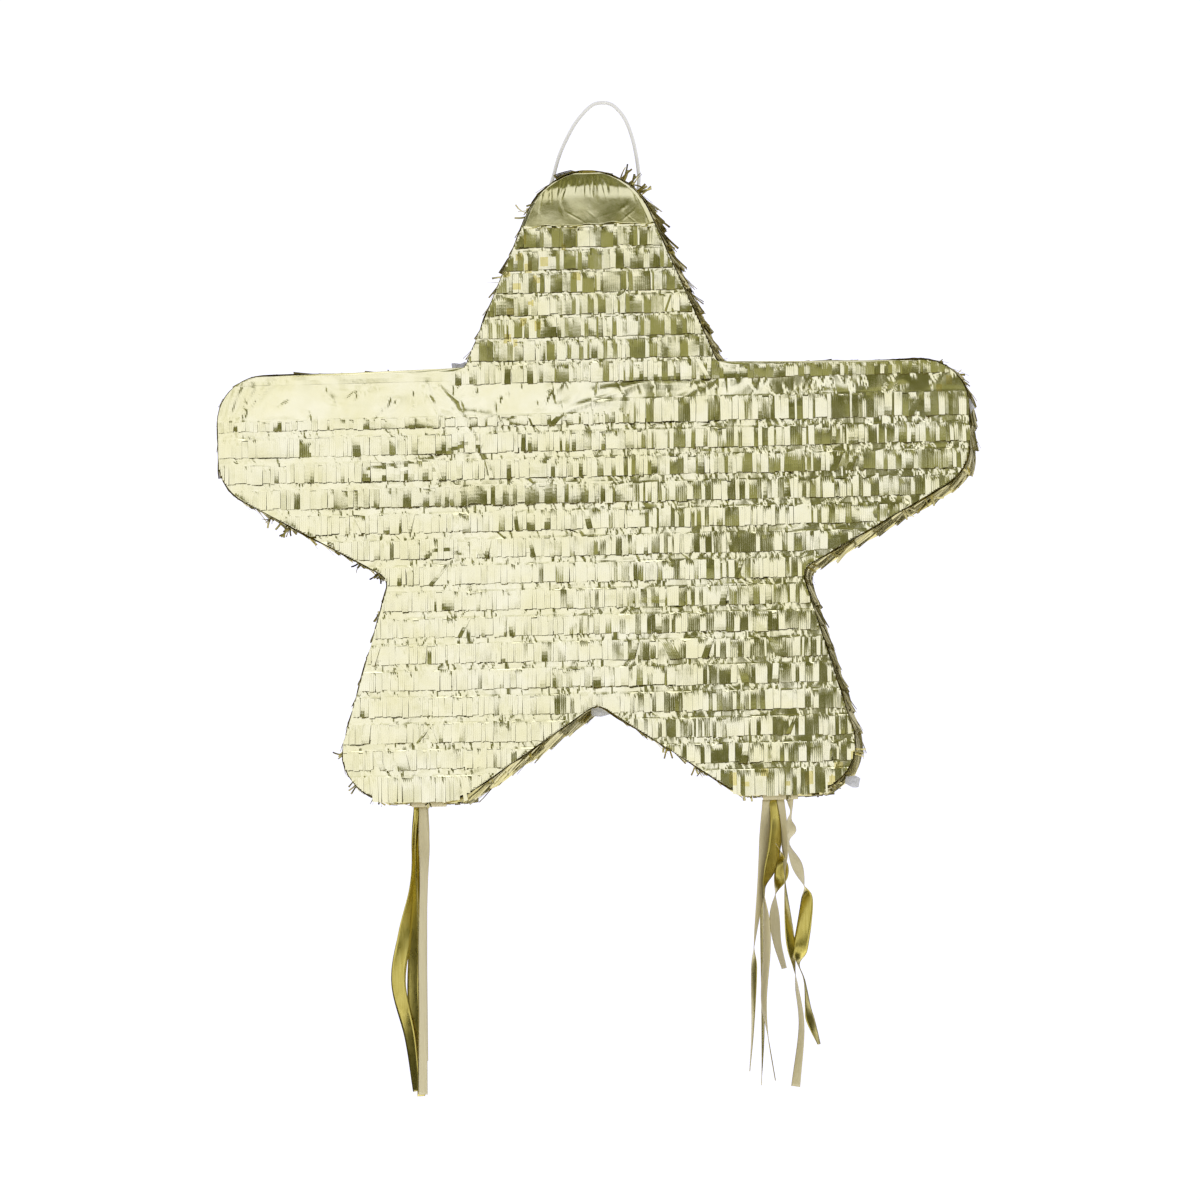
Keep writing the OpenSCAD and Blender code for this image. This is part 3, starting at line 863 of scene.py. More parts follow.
def tab_bends(rng, yaw, group, count, t):
    """Each strip's turn about its length, ring by ring, its lean and its curl."""
    n = len(group)
    yaw = yaw + np.radians(rng.normal(0, 0.3, n))
    loose = rng.random(count) < LOOSE_SHARE
    lean = np.radians(rng.normal(0, np.where(loose, LOOSE_LEAN, LEAN)))[group]
    curl = rng.gamma(1.5, 0.25, count)[group] * MM + np.where(loose[group], LOOSE_CURL, 0)
    twist = np.radians(rng.normal(0, TWIST, count))[group]
    # Crinkles of the heading run on into the roots of the strips
    root = np.radians(rng.normal(0, ROOT_STRIP, n) + rng.normal(0, ROOT_TAB, count)[group])
    fade = np.clip(1 - t / (0.15 + 0.35 * rng.random((count, 1))[group]), 0, 1)
    turn = yaw[:, None] * step(t * 2.5) + twist[:, None] * (t - 0.4) + root[:, None] * fade
    return turn, lean[:, None], curl[:, None]


def fringe(rng, row, front, yaw_of, blocked, reach=None):
    """The slit part of a row across the star: closed thin strips. They may hang past the feet."""
    top, slit, low, lift = row
    wide = outer_x(np.linspace(low, slit, 9)).max()
    x, group, centre = tabs(rng, *((-wide, wide) if reach is None else reach))
    count = group.max() + 1
    start, stop = strip_ends(rng, row, x, group, count)
    keep, z_top, z_end = inside_outline(x, start, stop, blocked)
    if not keep.any():
        return NO_FOIL
    x, group, centre = x[keep], group[keep], centre[keep]
    t = np.linspace(0, 1, RINGS[front])[None, :]
    zz = z_top + (z_end - z_top) * t
    yaw = yaw_of(rng, centre, group, count, low)
    turn, lean, curl = tab_bends(rng, yaw, group, count, t)
    base = skin_depth(x[:, None], zz, top, low, lift, front)
    depth = base + curl * t ** 2
    depth = depth - (x - centre)[:, None] * np.tan(turn) - 0.10 * MM * (1 - t)
    depth = np.maximum(depth, base - 0.8 * MM)
    centres = np.stack([x[:, None] + np.tan(lean) * (z_top - zz), -depth * front, zz], -1)
    across = np.stack([np.cos(turn) * front, np.sin(turn), np.zeros_like(turn)], -1)
    return tab_strips(centres, across, STRIP_W - 0.02 * MM, LIP)


def turns(rng, count, switch):
    """A run of 1 and -1 that changes sign from one to the next with the chance switch."""
    return np.cumprod(np.where(rng.random(count) < switch, -1, 1))


LEGS_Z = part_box("front_fringe_16")[1].z


# The chance that a tab turns the other way than the one beside it
SWITCH = 0.66


def front_yaw(rng, centre, group, count, low):
    """Tabs turn one way or the other about their length. On the star's left fewer of them turn
    far to its right."""
    sign = turns(rng, count, SWITCH)[group]
    size = rng.gamma(4.0, 1.45, count)[group]
    right = np.interp(centre, [-0.22, -0.06, 0.02, 0.08, 0.2], [0.27, 0.30, 0.52, 0.98, 1.0])
    if low > NECK_Z - 2 * MM:
        right = np.interp(centre, [-0.06, 0.06], [0.9, 1.15])
    left = np.interp(centre, [0.05, 0.10], [1.0, 0.68]) if low < LEGS_Z else 1.0
    rare = (rng.random(count) < 0.05)[group]
    size = size * np.where(sign > 0, np.where(rare, 1.2, right), left)
    return np.radians(sign * size + rng.normal(0, 1.2, count)[group])


def even_yaw(rng, centre, group, count, low):
    """Tabs of the back turn as much one way as the other."""
    return np.radians(turns(rng, count, SWITCH) * rng.gamma(4.0, 1.4, count))[group]


def front_rough(x):
    """How strong the creases of the front's sheets are: more on the star's right."""
    return np.interp(x, [-0.15, 0.0, 0.10, 0.22], [0.7, 0.85, 1.0, 1.5])


def even_rough(x):
    """The strength of the creases on the back."""
    return np.full(np.shape(x), 0.8)


def open_face(x, z):
    """Nothing on a face is in the foil's way."""
    return np.zeros(np.broadcast(x, z).shape, bool)


def no_lift(x):
    """A row whose free edge stands off no more than the others."""
    return 0.0


def lifted(x0, x1, height):
    """A row whose free edge stands off more from x0 to x1, in mm."""
    def lift(x):
        s = step((x / MM - x0) / 15) * step((x1 - x / MM) / 15)
        return s * height * MM
    return lift


# Rows of the front with a free edge that stands off over part of their length
LIFTS = {11: lifted(-178, 30, 1.8), 18: lifted(-60, 60, 1.0), 15: lifted(60, 150, 0.8),
         8: lifted(-80, 60, 0.8), 20: lifted(-160, -90, 0.9)}


ROW_COUNT = 22


def row_levels():
    """Top and lower edge of each row of the front, from their CAD boxes, by row number."""
    boxes = {k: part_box(f"front_fringe_{k:02d}") for k in range(1, ROW_COUNT + 1)}
    return {k: (high.z, low.z) for k, (low, high) in boxes.items()}


ROWS = row_levels()
PITCH = {k: ROWS[k - 1][1] - ROWS[k][1] for k in range(2, ROW_COUNT + 1)}
PITCH[1] = PITCH[2]
PITCH[8] = PITCH[9]
# The band across the arms: right of BAND_X it is slit higher up
FIRST_BAND = 8
BAND_X = 24 * MM
SLIT_RIGHT = 0.95
# The foil along the top of the left arm isn't slit
SMOOTH_TO = -88 * MM
ARM_X = LOOP[:, 0].max()
# The lowest row hangs past the feet by HEM at the middle of each foot
HEM = 4.5 * MM
FOOT_X = (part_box("right_trap_door")[0].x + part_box("right_trap_door")[1].x) / 2
FOOT_HALF = 46 * MM


def row_of(k, lift=no_lift):
    """A row's top, the height where its slits start, its lower edge and its lift."""
    top, low = ROWS[k]
    slit = low + PITCH[k] * (SLIT_BAND if k == FIRST_BAND
                             else SLIT_TOP if k < FIRST_BAND else SLIT_SHARE)
    return top, slit, low - (HEM if k == max(ROWS) else 0), lift


# Painted glints, a warmer gold for light bounced foil to foil: x and depth below the hook, in mm
PAINTED_GLINTS = [(-46, 78), (-40, 86), (-44, 97), (-38, 104), (-33, 112), (-46, 116), (-50, 131),
          (-42, 138), (-33, 141), (-52, 148), (-47, 151), (-37, 126), (-16, 92), (-8, 110),
          (-52, 108), (-28, 100), (224, 181), (218, 186), (92, 430), (104, 424), (118, 431),
          (132, 428), (146, 430), (150, 420), (84, 427), (160, 414)]


def on_painted_glint(rng, middles):
    """Which of the faces with these middles lie on a painted glint spot."""
    found = np.zeros(len(middles), bool)
    for x, d in PAINTED_GLINTS:
        wide, tall = rng.uniform(1.2, 2.8) * MM, rng.uniform(1.5, 4.0) * MM
        found |= ((np.abs(middles[:, 0] - x * MM) < wide)
                  & (np.abs(middles[:, 2] + d * MM) < tall))
    return found


def paint_inner_shade_and_glints(obj, front):
    """The second slot, painted shade in a dark foil, for every face of a row that doesn't face
    outwards, and the third, a painted glint, for the glint spots of the front."""
    polygons = obj.data.polygons
    normals = np.zeros(len(polygons) * 3, np.float32)
    middles = np.zeros(len(polygons) * 3, np.float32)
    polygons.foreach_get("normal", normals)
    polygons.foreach_get("center", middles)
    # Faces that don't face outwards get the dark foil: painted shade
    slots = (-normals.reshape(-1, 3)[:, 1] * front < 0.2).astype(np.int32)
    # The front's glint spots get the warmer gold foil: a painted glint
    if front > 0:
        glint_faces = on_painted_glint(np.random.default_rng(80), middles.reshape(-1, 3))
        slots[glint_faces & (slots == 0)] = 2
    polygons.foreach_set("material_index", slots)
    return obj


def row_parts(seed, row, front, yaw=even_yaw, rough=even_rough, blocked=open_face, reach=None):
    """A whole row: its two uncut sheets and its tabs."""
    rng = np.random.default_rng(seed)
    parts = [heading(rng, half, row, front, rough, blocked) for half in (-1, 1)]
    parts.append(fringe(rng, row, front, yaw, blocked, reach))
    return parts


FRONT_SEED = 100


def first_band(row):
    """The band across the arms: slit only near its hem on the left, and higher up on the right."""
    rng = np.random.default_rng(FRONT_SEED + FIRST_BAND)
    top, slit, low, lift = row
    high = top, low + SLIT_RIGHT * PITCH[FIRST_BAND], low, lift
    wide = outer_x(np.linspace(low, high[1], 9)).max()
    return [heading(rng, -1, row, 1, front_rough, open_face),
            heading(rng, 1, high, 1, front_rough, open_face),
            fringe(rng, row, 1, front_yaw, open_face, (-wide, BAND_X)),
            fringe(rng, high, 1, front_yaw, open_face, (BAND_X, wide))]


def make_front():
    """The rows of the front."""
    for k in ROWS:
        row = row_of(k, LIFTS.get(k, no_lift))
        reach = (SMOOTH_TO, ARM_X) if k == FIRST_BAND - 1 else None
        parts = (first_band(row) if k == FIRST_BAND else
                 row_parts(FRONT_SEED + k, row, 1, front_yaw, front_rough, reach=reach))
        finish_foil(f"foil_row_{k:02d}", parts, 1, "star", f"front_fringe_{k:02d}")


# ---- The foil cap of the top arm --------------------------------------------------------------

CAP_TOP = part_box("tip_foil")[1].z
CAP_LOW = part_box("tip_foil")[0].z


# How far the cap's lower edge stands off, and how its rim is wrapped round the edge
CAP_RISE = 4.4 * MM
CAP_WRAP = 2.5 * MM
WRAP_WIDE = 2.4 * MM
CAP_FOLD_DOWN, CAP_FOLD_HIGH, CAP_FOLD_WIDE = 12.5 * MM, 0.85 * MM, 4.2 * MM
FAN_CREASES = 44


def fan(rng, gx, gz):
    """Height of the creases that fan down from the tip."""
    total = np.zeros(gx.shape)
    for _ in range(FAN_CREASES):
        ax, spread = rng.uniform(-0.030, 0.034), rng.uniform(1.0, 1.5)
        run = rng.uniform(6, 20) * MM
        down = CAP_TOP - rng.uniform(0, 5) * MM - gz
        d = gx - ax * (1 + (spread - 1) * down / run)
        fade = np.clip(1 - np.abs(down - run / 2) / (run / 2), 0, 1)
        total += rng.uniform(-0.3, 0.4) * MM * fade * np.clip(
            1 - np.abs(d) / (rng.uniform(0.6, 2.0) * MM), 0, 1)
    return total


def cap_sheet(seed, front):
    """A smooth sheet over the tip, tilted back towards it, with soft dents and fine creases that
    run down from the top edge."""
    rng = np.random.default_rng(seed)
    z = np.linspace(CAP_TOP + 0.4 * MM, CAP_LOW - 0.5 * MM, 84)
    out = np.maximum(outer_x(np.minimum(z, CAP_TOP - 0.3 * MM)), 4 * MM)
    u = np.linspace(-1, 1, 181)
    gx = out[:, None] * u[None, :]
    ragged = waves(seed + 1, 0.012)(u * 0.05, 0.0) * 1.1 * MM
    share = ((CAP_TOP - z) / (CAP_TOP - CAP_LOW))[:, None]
    gz = z[:, None] + ragged[None, :] * share ** 4
    edge = np.minimum(out[:, None] - np.abs(gx), (CAP_TOP - gz) * 1.4)
    wrap = CAP_WRAP * np.clip(1 - edge / WRAP_WIDE, 0, 1) ** 1.5
    depth = GLUED_Y + 0.3 * MM + CAP_RISE * share
    depth = depth + waves(seed + 2, 0.030)(gx, gz) * 0.16 * MM
    depth = depth + waves(seed + 3, 0.012)(gx * 0.6, gz) * 0.06 * MM
    # A soft fold crosses the tip and catches the light along its lower side
    line = CAP_TOP - CAP_FOLD_DOWN + 3.5 * MM * np.cos(gx / 0.022) - gz
    depth = depth + CAP_FOLD_HIGH * np.exp(-(line / CAP_FOLD_WIDE) ** 2)
    depth = depth + fan(rng, gx, gz)
    box = (-0.05, 0.05, CAP_LOW, CAP_TOP)
    depth = depth + creases(rng, gx, gz, box, 30, 0.14 * MM, (4, 12), 1.2)
    depth = np.maximum(depth, GLUED_Y - 0.1 * MM) - wrap
    quads = grid_quads(*gx.shape).reshape(-1, 4)[:, ::front]
    return face_shell(gx, depth, gz, quads, front)


# ---- The back, and its fill flap --------------------------------------------------------------

FLAP_LOW, FLAP_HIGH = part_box("flap_fringe")
FLAP_X = FLAP_HIGH.x
HINGE_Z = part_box("fill_flap")[1].z
FLAP_ROWS = range(10, 14)


def flap_hole(x, z):
    """The back's own foil leaves this room for the flap."""
    beside = np.abs(x) < FLAP_X + 2.5 * MM
    return beside & (z < HINGE_Z + 5.5 * MM) & (z > FLAP_LOW.z - 1.5 * MM)


def off_flap(x, z):
    """The flap's own foil ends at the flap's edges."""
    return (np.abs(x) > FLAP_X) | (z > FLAP_HIGH.z) | (z < FLAP_LOW.z)


def flat_foil(seed, x0, x1, z0, z1, y, front):
    """A thin crinkled sheet glued flat to one of the faces."""
    rng = np.random.default_rng(seed)
    gx, gz = np.meshgrid(np.arange(x0, x1, 0.9 * MM), np.linspace(z0, z1, 9))
    depth = y + 0.12 * MM + np.abs(creases(rng, gx, gz, (x0, x1, z0, z1), 70, 0.2 * MM))
    quads = grid_quads(*gx.shape).reshape(-1, 4)[:, ::-front]
    return face_shell(gx, depth, gz, quads, front)


def finish_foil(name, parts, front, body, node):
    """One piece of foil in place of a CAD node, or of a share of it."""
    piece = paint_inner_shade_and_glints(make_mesh(name, *join(parts)), front)
    # The second material is painted shade on the faces that don't face outwards, the third a
    # painted glint
    finish_piece(piece, body, [FOIL, FOIL_INNER_SHADE, FOIL_PAINTED_GLINT][:2 + (front > 0)], [node])


def make_back():
    """The back's cap and rows, and those of its flap."""
    finish_foil("foil_back_cap", [cap_sheet(310, -1)], -1, "star", "back_fringe_upper")
    for k in range(1, FIRST_BAND):
        finish_foil(f"foil_back_row_{k:02d}", row_parts(300 + k, row_of(k), -1), -1, "star",
                    "back_fringe_upper")
    panel_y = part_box("back_panel")[1].y
    over = flat_foil(360, -FLAP_X - 2 * MM, FLAP_X + 2 * MM, HINGE_Z + 1.4 * MM,
                     HINGE_Z + 7 * MM, panel_y, -1)
    finish_foil("foil_over_flap", [over], -1, "star", "back_fringe_lower")
    for k in range(FIRST_BAND, max(ROWS) + 1):
        parts = row_parts(320 + k, row_of(k), -1, blocked=flap_hole)
        finish_foil(f"foil_back_row_{k:02d}", parts, -1, "star", "back_fringe_lower")
    own = [flat_foil(361, -FLAP_X, FLAP_X, HINGE_Z - 6 * MM, HINGE_Z - 0.8 * MM, panel_y, -1)]
    for k in FLAP_ROWS:
        own += row_parts(350 + k, row_of(k), -1, blocked=off_flap, reach=(-FLAP_X, FLAP_X))
    finish_foil("foil_flap", own, -1, "flap", "flap_fringe")


# ---- Fringe round the edge --------------------------------------------------------------------

EDGE_PITCH = 14.0 * MM
EDGE_HALF = abs(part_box("right_arm_fringe")[0].y)
CUT_CORNERS = [(80, -168), (129, -297), (0, -378), (-129, -297), (-80, -168)]
STAR_CENTRE = (0, -255)
EDGE_NODES = ["top_arm_fringe", "right_arm_fringe", "right_leg_fringe", "left_leg_fringe",
              "left_arm_fringe"]


def even_loop():
    """The outline as points 1 mm apart, clockwise from its highest point, with its tangent."""
    ring = np.vstack([LOOP, LOOP[:1]])
    run = np.concatenate([[0], np.cumsum(np.linalg.norm(np.diff(ring, axis=0), axis=1))])
    at = np.arange(0, run[-1], MM)
    p = np.stack([np.interp(at, run, ring[:, k]) for k in (0, 1)], 1)
    way = unit_rows(np.roll(p, -3, 0) - np.roll(p, 3, 0))
    return p, way


EDGE_P, EDGE_T = even_loop()
EDGE_N = np.stack([-EDGE_T[:, 1], EDGE_T[:, 0]], 1)


def edge_at(s):
    """Point, tangent and outward normal at distance s round the outline."""
    f = np.asarray(s) / MM
    i = np.floor(f).astype(int)
    w = (f - i)[..., None]
    n = len(EDGE_P)
    return [a[i % n] * (1 - w) + a[(i + 1) % n] * w for a in (EDGE_P, EDGE_T, EDGE_N)]


def strip_index(p):
    """Which of the five strips of the edge a point belongs to."""
    a = math.atan2(p[1] - STAR_CENTRE[1] * MM, p[0])
    cuts = [math.atan2(z - STAR_CENTRE[1], x) for x, z in CUT_CORNERS]
    for k in range(1, 5):
        high, low = cuts[k - 1], cuts[k]
        if low > high:
            low -= 2 * math.pi
        if low <= a <= high or low <= a - 2 * math.pi <= high:
            return k
    return 0


DOORS = [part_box("left_trap_door"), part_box("right_trap_door")]
CORD_X = 28 * MM
TIP_Z = -80 * MM


def in_door(x, y, z, margin, behind):
    """Whether a place on the underside of a foot belongs to its trap door, or to the room that
    the door needs behind its hinge."""
    found = np.zeros(np.broadcast(x, y).shape, bool)
    for low, high in DOORS:
        found |= ((x > low.x - margin) & (x < high.x + margin) & (y > low.y - margin)
                  & (y < high.y + behind) & (z < low.z + 20 * MM))
    return found


def by_cord(x, y, z, room_x, room_y):
    """Whether a place on the tip lies where the cord swings."""
    return (np.abs(np.abs(x) - CORD_X) < room_x) & (np.abs(y) < room_y) & (z > TIP_Z)


def star_skip(x, y, z):
    """Whether a tab of the edge would hang over a door or in the cord's way."""
    return in_door(x, y, z, 3 * MM, 8 * MM) | by_cord(x, y, z, 5.5 * MM, 12 * MM)


# The edge's foil is folded out into a narrow rim along its front and its back
RIM = 2.35 * MM
RIM_WIDE = 4.5 * MM
RIM_WAVE = waves(15, 0.018)


def edge_skin(k):
    """The glued base of the edge's foil on strip k: a crinkled sheet round the outline."""
    rng = np.random.default_rng(400 + k)
    mine = np.array([strip_index(p) == k for p in EDGE_P])
    n = len(EDGE_P)
    first = [i for i in range(n) if mine[i] and not mine[i - 1]][0]
    count = int(mine.sum())
    s = (first + np.arange(count)) * MM
    p, _, out = edge_at(s)
    y = np.linspace(-EDGE_HALF, EDGE_HALF, 48)
    gs, gy = np.meshgrid(np.arange(count) * MM, y, indexing="ij")
    box = (0, count * MM, -EDGE_HALF, EDGE_HALF)
    lift = np.abs(creases(rng, gs, gy, box, int(count * 1.6), 0.4 * MM, (3, 12), 1.5))
    rim = step(1 - (EDGE_HALF - np.abs(gy)) / RIM_WIDE) * (1 + 0.25 * RIM_WAVE(*p.T)[:, None])
    place = p[:, None] + out[:, None] * (lift + rim * RIM - 1.5 * MM)[..., None]
    verts = np.stack([place[..., 0], gy, place[..., 1]], -1)
    quads = grid_quads(*gs.shape)
    mid = (verts[:-1, :-1] + verts[1:, 1:]) / 2
    keep = ~in_door(mid[..., 0], mid[..., 1], mid[..., 2], 2.4 * MM, 2.4 * MM)
    keep &= ~by_cord(mid[..., 0], mid[..., 1], mid[..., 2], 3 * MM, 6 * MM)
    offset = np.repeat(np.stack([out[:, 0], np.zeros(count), out[:, 1]], 1), len(y), 0)
    return thicken(verts.reshape(-1, 3), quads[keep].reshape(-1, 4), -offset * FOIL_THICK)


EDGE_TAB = EDGE_PITCH + 5 * MM
# The longest tabs, and those that stop short of a door or the cord, as shares of EDGE_TAB
LONGEST, SHORTENED = 1.15, 0.55
MOST_FLARE = 6.5


def in_the_way(s, y):
    """Whether the places at distance s round the outline, and y, are to stay free of tabs."""
    p, _, _ = edge_at(np.full(len(y), s))
    return star_skip(p[:, 0], y, p[:, 1])


def edge_strips(rng, s0, way):
    """The strips of a row of the edge that have room: y, group and the group's middle."""
    y, group, centre = tabs(rng, -EDGE_HALF, EDGE_HALF)
    keep = np.ones(len(y), bool)
    for share in (0.0, 0.3, 0.6):
        keep &= ~in_the_way(s0 + way * EDGE_TAB * share, y)
    return y[keep], group[keep], centre[keep]


def edge_row(rng, s0, way, wild):
    """One row of tabs across the edge, from s0 the way it hangs. Some flare out."""
    y, group, centre = edge_strips(rng, s0, way)
    if not len(y):
        return NO_FOIL
    count = group.max() + 1
    t = np.linspace(0, 1, EDGE_RINGS)[None, :]
    reach = EDGE_TAB * np.clip(rng.normal(1, 0.06, count), 0.8, LONGEST)[group]
    short = in_the_way(s0 + way * EDGE_TAB * LONGEST, y)
    reach = np.where(short, SHORTENED * EDGE_TAB, reach)[:, None]
    p, _, out = edge_at(s0 + way * reach * t)
    flare = (rng.gamma(1.1, 0.9, count) * wild)[group]
    flare = np.minimum(flare, MOST_FLARE * wild) * MM
    yaw = np.radians(rng.normal(0, 11, count))[group] + np.radians(rng.normal(0, 1.2, len(y)))
    lift = -1.15 * MM + 2.0 * MM * t + flare[:, None] * t ** 1.8
    psi = yaw[:, None] * step(t * 2.5)
    lift = np.maximum(lift + (y - centre)[:, None] * np.tan(psi), -1.3 * MM)
    place = p + out * lift[..., None]
    slide = np.tan(rng.normal(0, 0.05, count))[group][:, None] * reach * t
    yy = np.clip(y[:, None] + slide, -EDGE_HALF, EDGE_HALF)
    centres = np.stack([place[..., 0], yy, place[..., 1]], -1)
    across = np.stack([out[..., 0] * np.sin(psi), np.cos(psi), out[..., 1] * np.sin(psi)], -1)
    return tab_strips(centres, across, STRIP_W - 0.05 * MM)


def edge_rows():
    """Where each row of the edge starts and which way it hangs: down from the tip to the feet,
    and down from the crotch to the feet."""
    n = len(EDGE_P)
    foot = max((i for i in range(n // 2)), key=lambda i: EDGE_P[i, 0] - 2.5 * EDGE_P[i, 1]
               if EDGE_P[i, 1] < -0.3 else -9)
    rows = []
    s = 0.0
    while s < (foot - 6) * MM:
        rows += [(s, 1), (n * MM - s, -1)]
        s += EDGE_PITCH
    s = n / 2 * MM
    while s > foot * MM:
        rows += [(s, -1), (n * MM - s, 1)]
        s -= EDGE_PITCH
    return rows


# How much the edge's tabs flare: on the top arm, along the tops of the arms and elsewhere
WILD_TOP_ARM, WILD_ARM_TOP, WILD_ELSEWHERE = 1.25, 0.28, 0.75
WILD_LEFT = 0.8


def make_edges():
    """The foil of the five strips of the edge."""
    parts = {k: [edge_skin(k)] for k in range(5)}
    for i, (s, way) in enumerate(edge_rows()):
        rng = np.random.default_rng(500 + i)
        mid, _, out = edge_at(s + way * EDGE_TAB / 2)
        wild = WILD_TOP_ARM if abs(mid[0]) < 0.08 and mid[1] > -0.165 else WILD_ELSEWHERE
        if out[1] > 0.8:
            wild = WILD_ARM_TOP
        if mid[0] < 0 and out[1] > -0.1:
            wild *= WILD_LEFT
        parts[strip_index(mid)].append(edge_row(rng, s, way, wild))
    for k, node in enumerate(EDGE_NODES):
        piece = make_mesh(node.replace("_fringe", "_edge_foil"), *join(parts[k]))
        # The edge's foil is the darker copy of the foil: painted shade
        finish_piece(piece, "star", [FOIL_EDGE_SHADE], [node])


# ---- Foil under the trap doors ----------------------------------------------------------------


DOOR_ROWS = 3
DOOR_PITCH = 9.7 * MM
DOOR_TAB = 11.5 * MM
TIE_ROOM = 1.5 * MM
DOOR_CELL = 1.0 * MM
BEFORE_HINGE = 3 * MM


def round_tie(side):
    """A test for the places under a door that its ribbon tie takes up."""
    low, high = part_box(side + "_ribbon_tie")

    def taken(x, y):
        beside = (x > low.x - TIE_ROOM) & (x < high.x + TIE_ROOM)
        return beside & (np.abs(y) < high.y + TIE_ROOM)
    return taken


def door_skin(rng, low, high, taken):
    """The glued base of a door's foil: a crinkled sheet."""
    gx, gy = np.meshgrid(np.arange(low.x, high.x, DOOR_CELL),
                         np.arange(low.y, high.y - BEFORE_HINGE, DOOR_CELL), indexing="ij")
    box = (low.x, high.x, low.y, high.y)
    gz = high.z - 0.1 * MM - np.abs(creases(rng, gx, gy, box, 90, 0.25 * MM, (3, 9), 1.5))
    keep = ~taken((gx[:-1, :-1] + gx[1:, 1:]) / 2, (gy[:-1, :-1] + gy[1:, 1:]) / 2)
    quads = grid_quads(*gx.shape)[keep].reshape(-1, 4)[:, ::-1]
    return thicken(np.stack([gx, gy, gz], -1).reshape(-1, 3), quads, np.array([0, 0, FOIL_THICK]))


def door_row(rng, start, out, low, high, taken):
    """One row of tabs under a door, from start outwards."""
    y, group, centre = tabs(rng, low.y, high.y - BEFORE_HINGE - STRIP_W)
    count = group.max() + 1
    t = np.linspace(0, 1, EDGE_RINGS)[None, :]
    share = np.clip(rng.normal(1, 0.05, count), 0.85, 1.0)[group][:, None]
    x = np.clip(start + out * DOOR_TAB * t * share, low.x, high.x)
    keep = ~(taken(x[:, 0], y) | taken(x[:, 2], y) | taken(x[:, -1], y))
    x, y, group, centre = x[keep], y[keep], group[keep], centre[keep]
    yaw = np.radians(rng.normal(0, 9, count))[group][:, None] * step(t * 2.5)
    drop = 0.25 * MM + (0.6 + rng.gamma(1.2, 0.35, count)[group][:, None]) * MM * t ** 1.5
    z = high.z - 0.2 * MM - drop + (y - centre)[:, None] * np.tan(yaw)
    centres = np.stack([x, np.broadcast_to(y[:, None], x.shape), z], -1)
    across = np.stack([np.zeros_like(yaw), np.cos(yaw), np.sin(yaw)], -1)
    return tab_strips(centres, across, STRIP_W - 0.05 * MM, nudge=[out * 1e-6, 0, 0])


def make_door_foil(side, out, seed):
    """Short rows of tabs under a door, round the ribbon tie, that point outwards."""
    low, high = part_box(side + "_door_fringe")
    rng = np.random.default_rng(seed)
    taken = round_tie(side)
    inner = low.x if out > 0 else high.x
    parts = [door_skin(rng, low, high, taken)]
    parts += [door_row(rng, inner + out * i * DOOR_PITCH, out, low, high, taken)
              for i in range(DOOR_ROWS)]
    piece = make_mesh(side + "_door_foil", *join(parts))
    # The door's foil is the darker copy of the foil: painted shade
    finish_piece(piece, side + "_door", [FOIL_EDGE_SHADE], [side + "_door_fringe"])


# ---- Loose tufts and bits of paper along the edges --------------------------------------------

TUFT_W = STRIP_W * 1.1
# Each tuft starts at the outline's point nearest to (x, depth below the hook), at y, in mm; then
# the direction it points in degrees (0 is to the star's right, 90 is up), how many strips, their
# length and how far they fan
TUFTS = [
    (20, -22, 49, 66, 4, 13, 18), (26, -29, 53, 38, 6, 14, 26), (33, -31, 58, 20, 5, 12, 20),
    (-38, -31, 68, 203, 5, 13, 12), (-33, -30, 62, 198, 2, 11, 12), (-58, -30, 106, 182, 2, 13, 5),
    (50, -34, 92, -20, 4, 9, 25), (-68, -32, 138, 232, 2, 9, 12), (56, -33, 112, -35, 3, 9, 15),
    (66, -33, 136, -40, 4, 9, 15), (-128, -31, 168, 96, 1, 5, 5), (-92, -32, 167, 170, 3, 9, 6),
    (228, -28, 178, 25, 3, 8, 40), (218, -30, 171, 50, 2, 7, 30), (-205, -31, 262, 235, 6, 10, 14),
    (-196, -31, 268, 240, 6, 11, 14), (196, -31, 268, -35, 4, 11, 20),
    (150, -31, 292, -50, 3, 9, 25), (-150, -31, 290, 235, 3, 9, 15),
    (-138, -31, 296, 240, 6, 9, 12), (-133, -25, 316, 200, 2, 7, 10),
    (-166, -31, 404, 205, 4, 9, 25), (-160, -31, 430, 225, 4, 9, 30),
    (-140, -33, 440, 262, 4, 7, 20), (-108, -33, 438, 275, 4, 7, 25),
    (168, -31, 412, -20, 4, 9, 25), (150, -33, 438, -70, 5, 8, 30), (118, -33, 440, -95, 4, 7, 25),
    (92, -33, 436, -100, 5, 8, 25), (60, -33, 420, -105, 4, 9, 20), (42, -31, 404, -100, 4, 9, 20),
    (-42, -33, 404, 250, 3, 7, 15), (-66, -33, 424, 255, 3, 7, 15), (133, -28, 296, -30, 3, 8, 20),
    (231, -30, 236, -30, 3, 9, 20), (212, -31, 256, -50, 4, 10, 15),
]


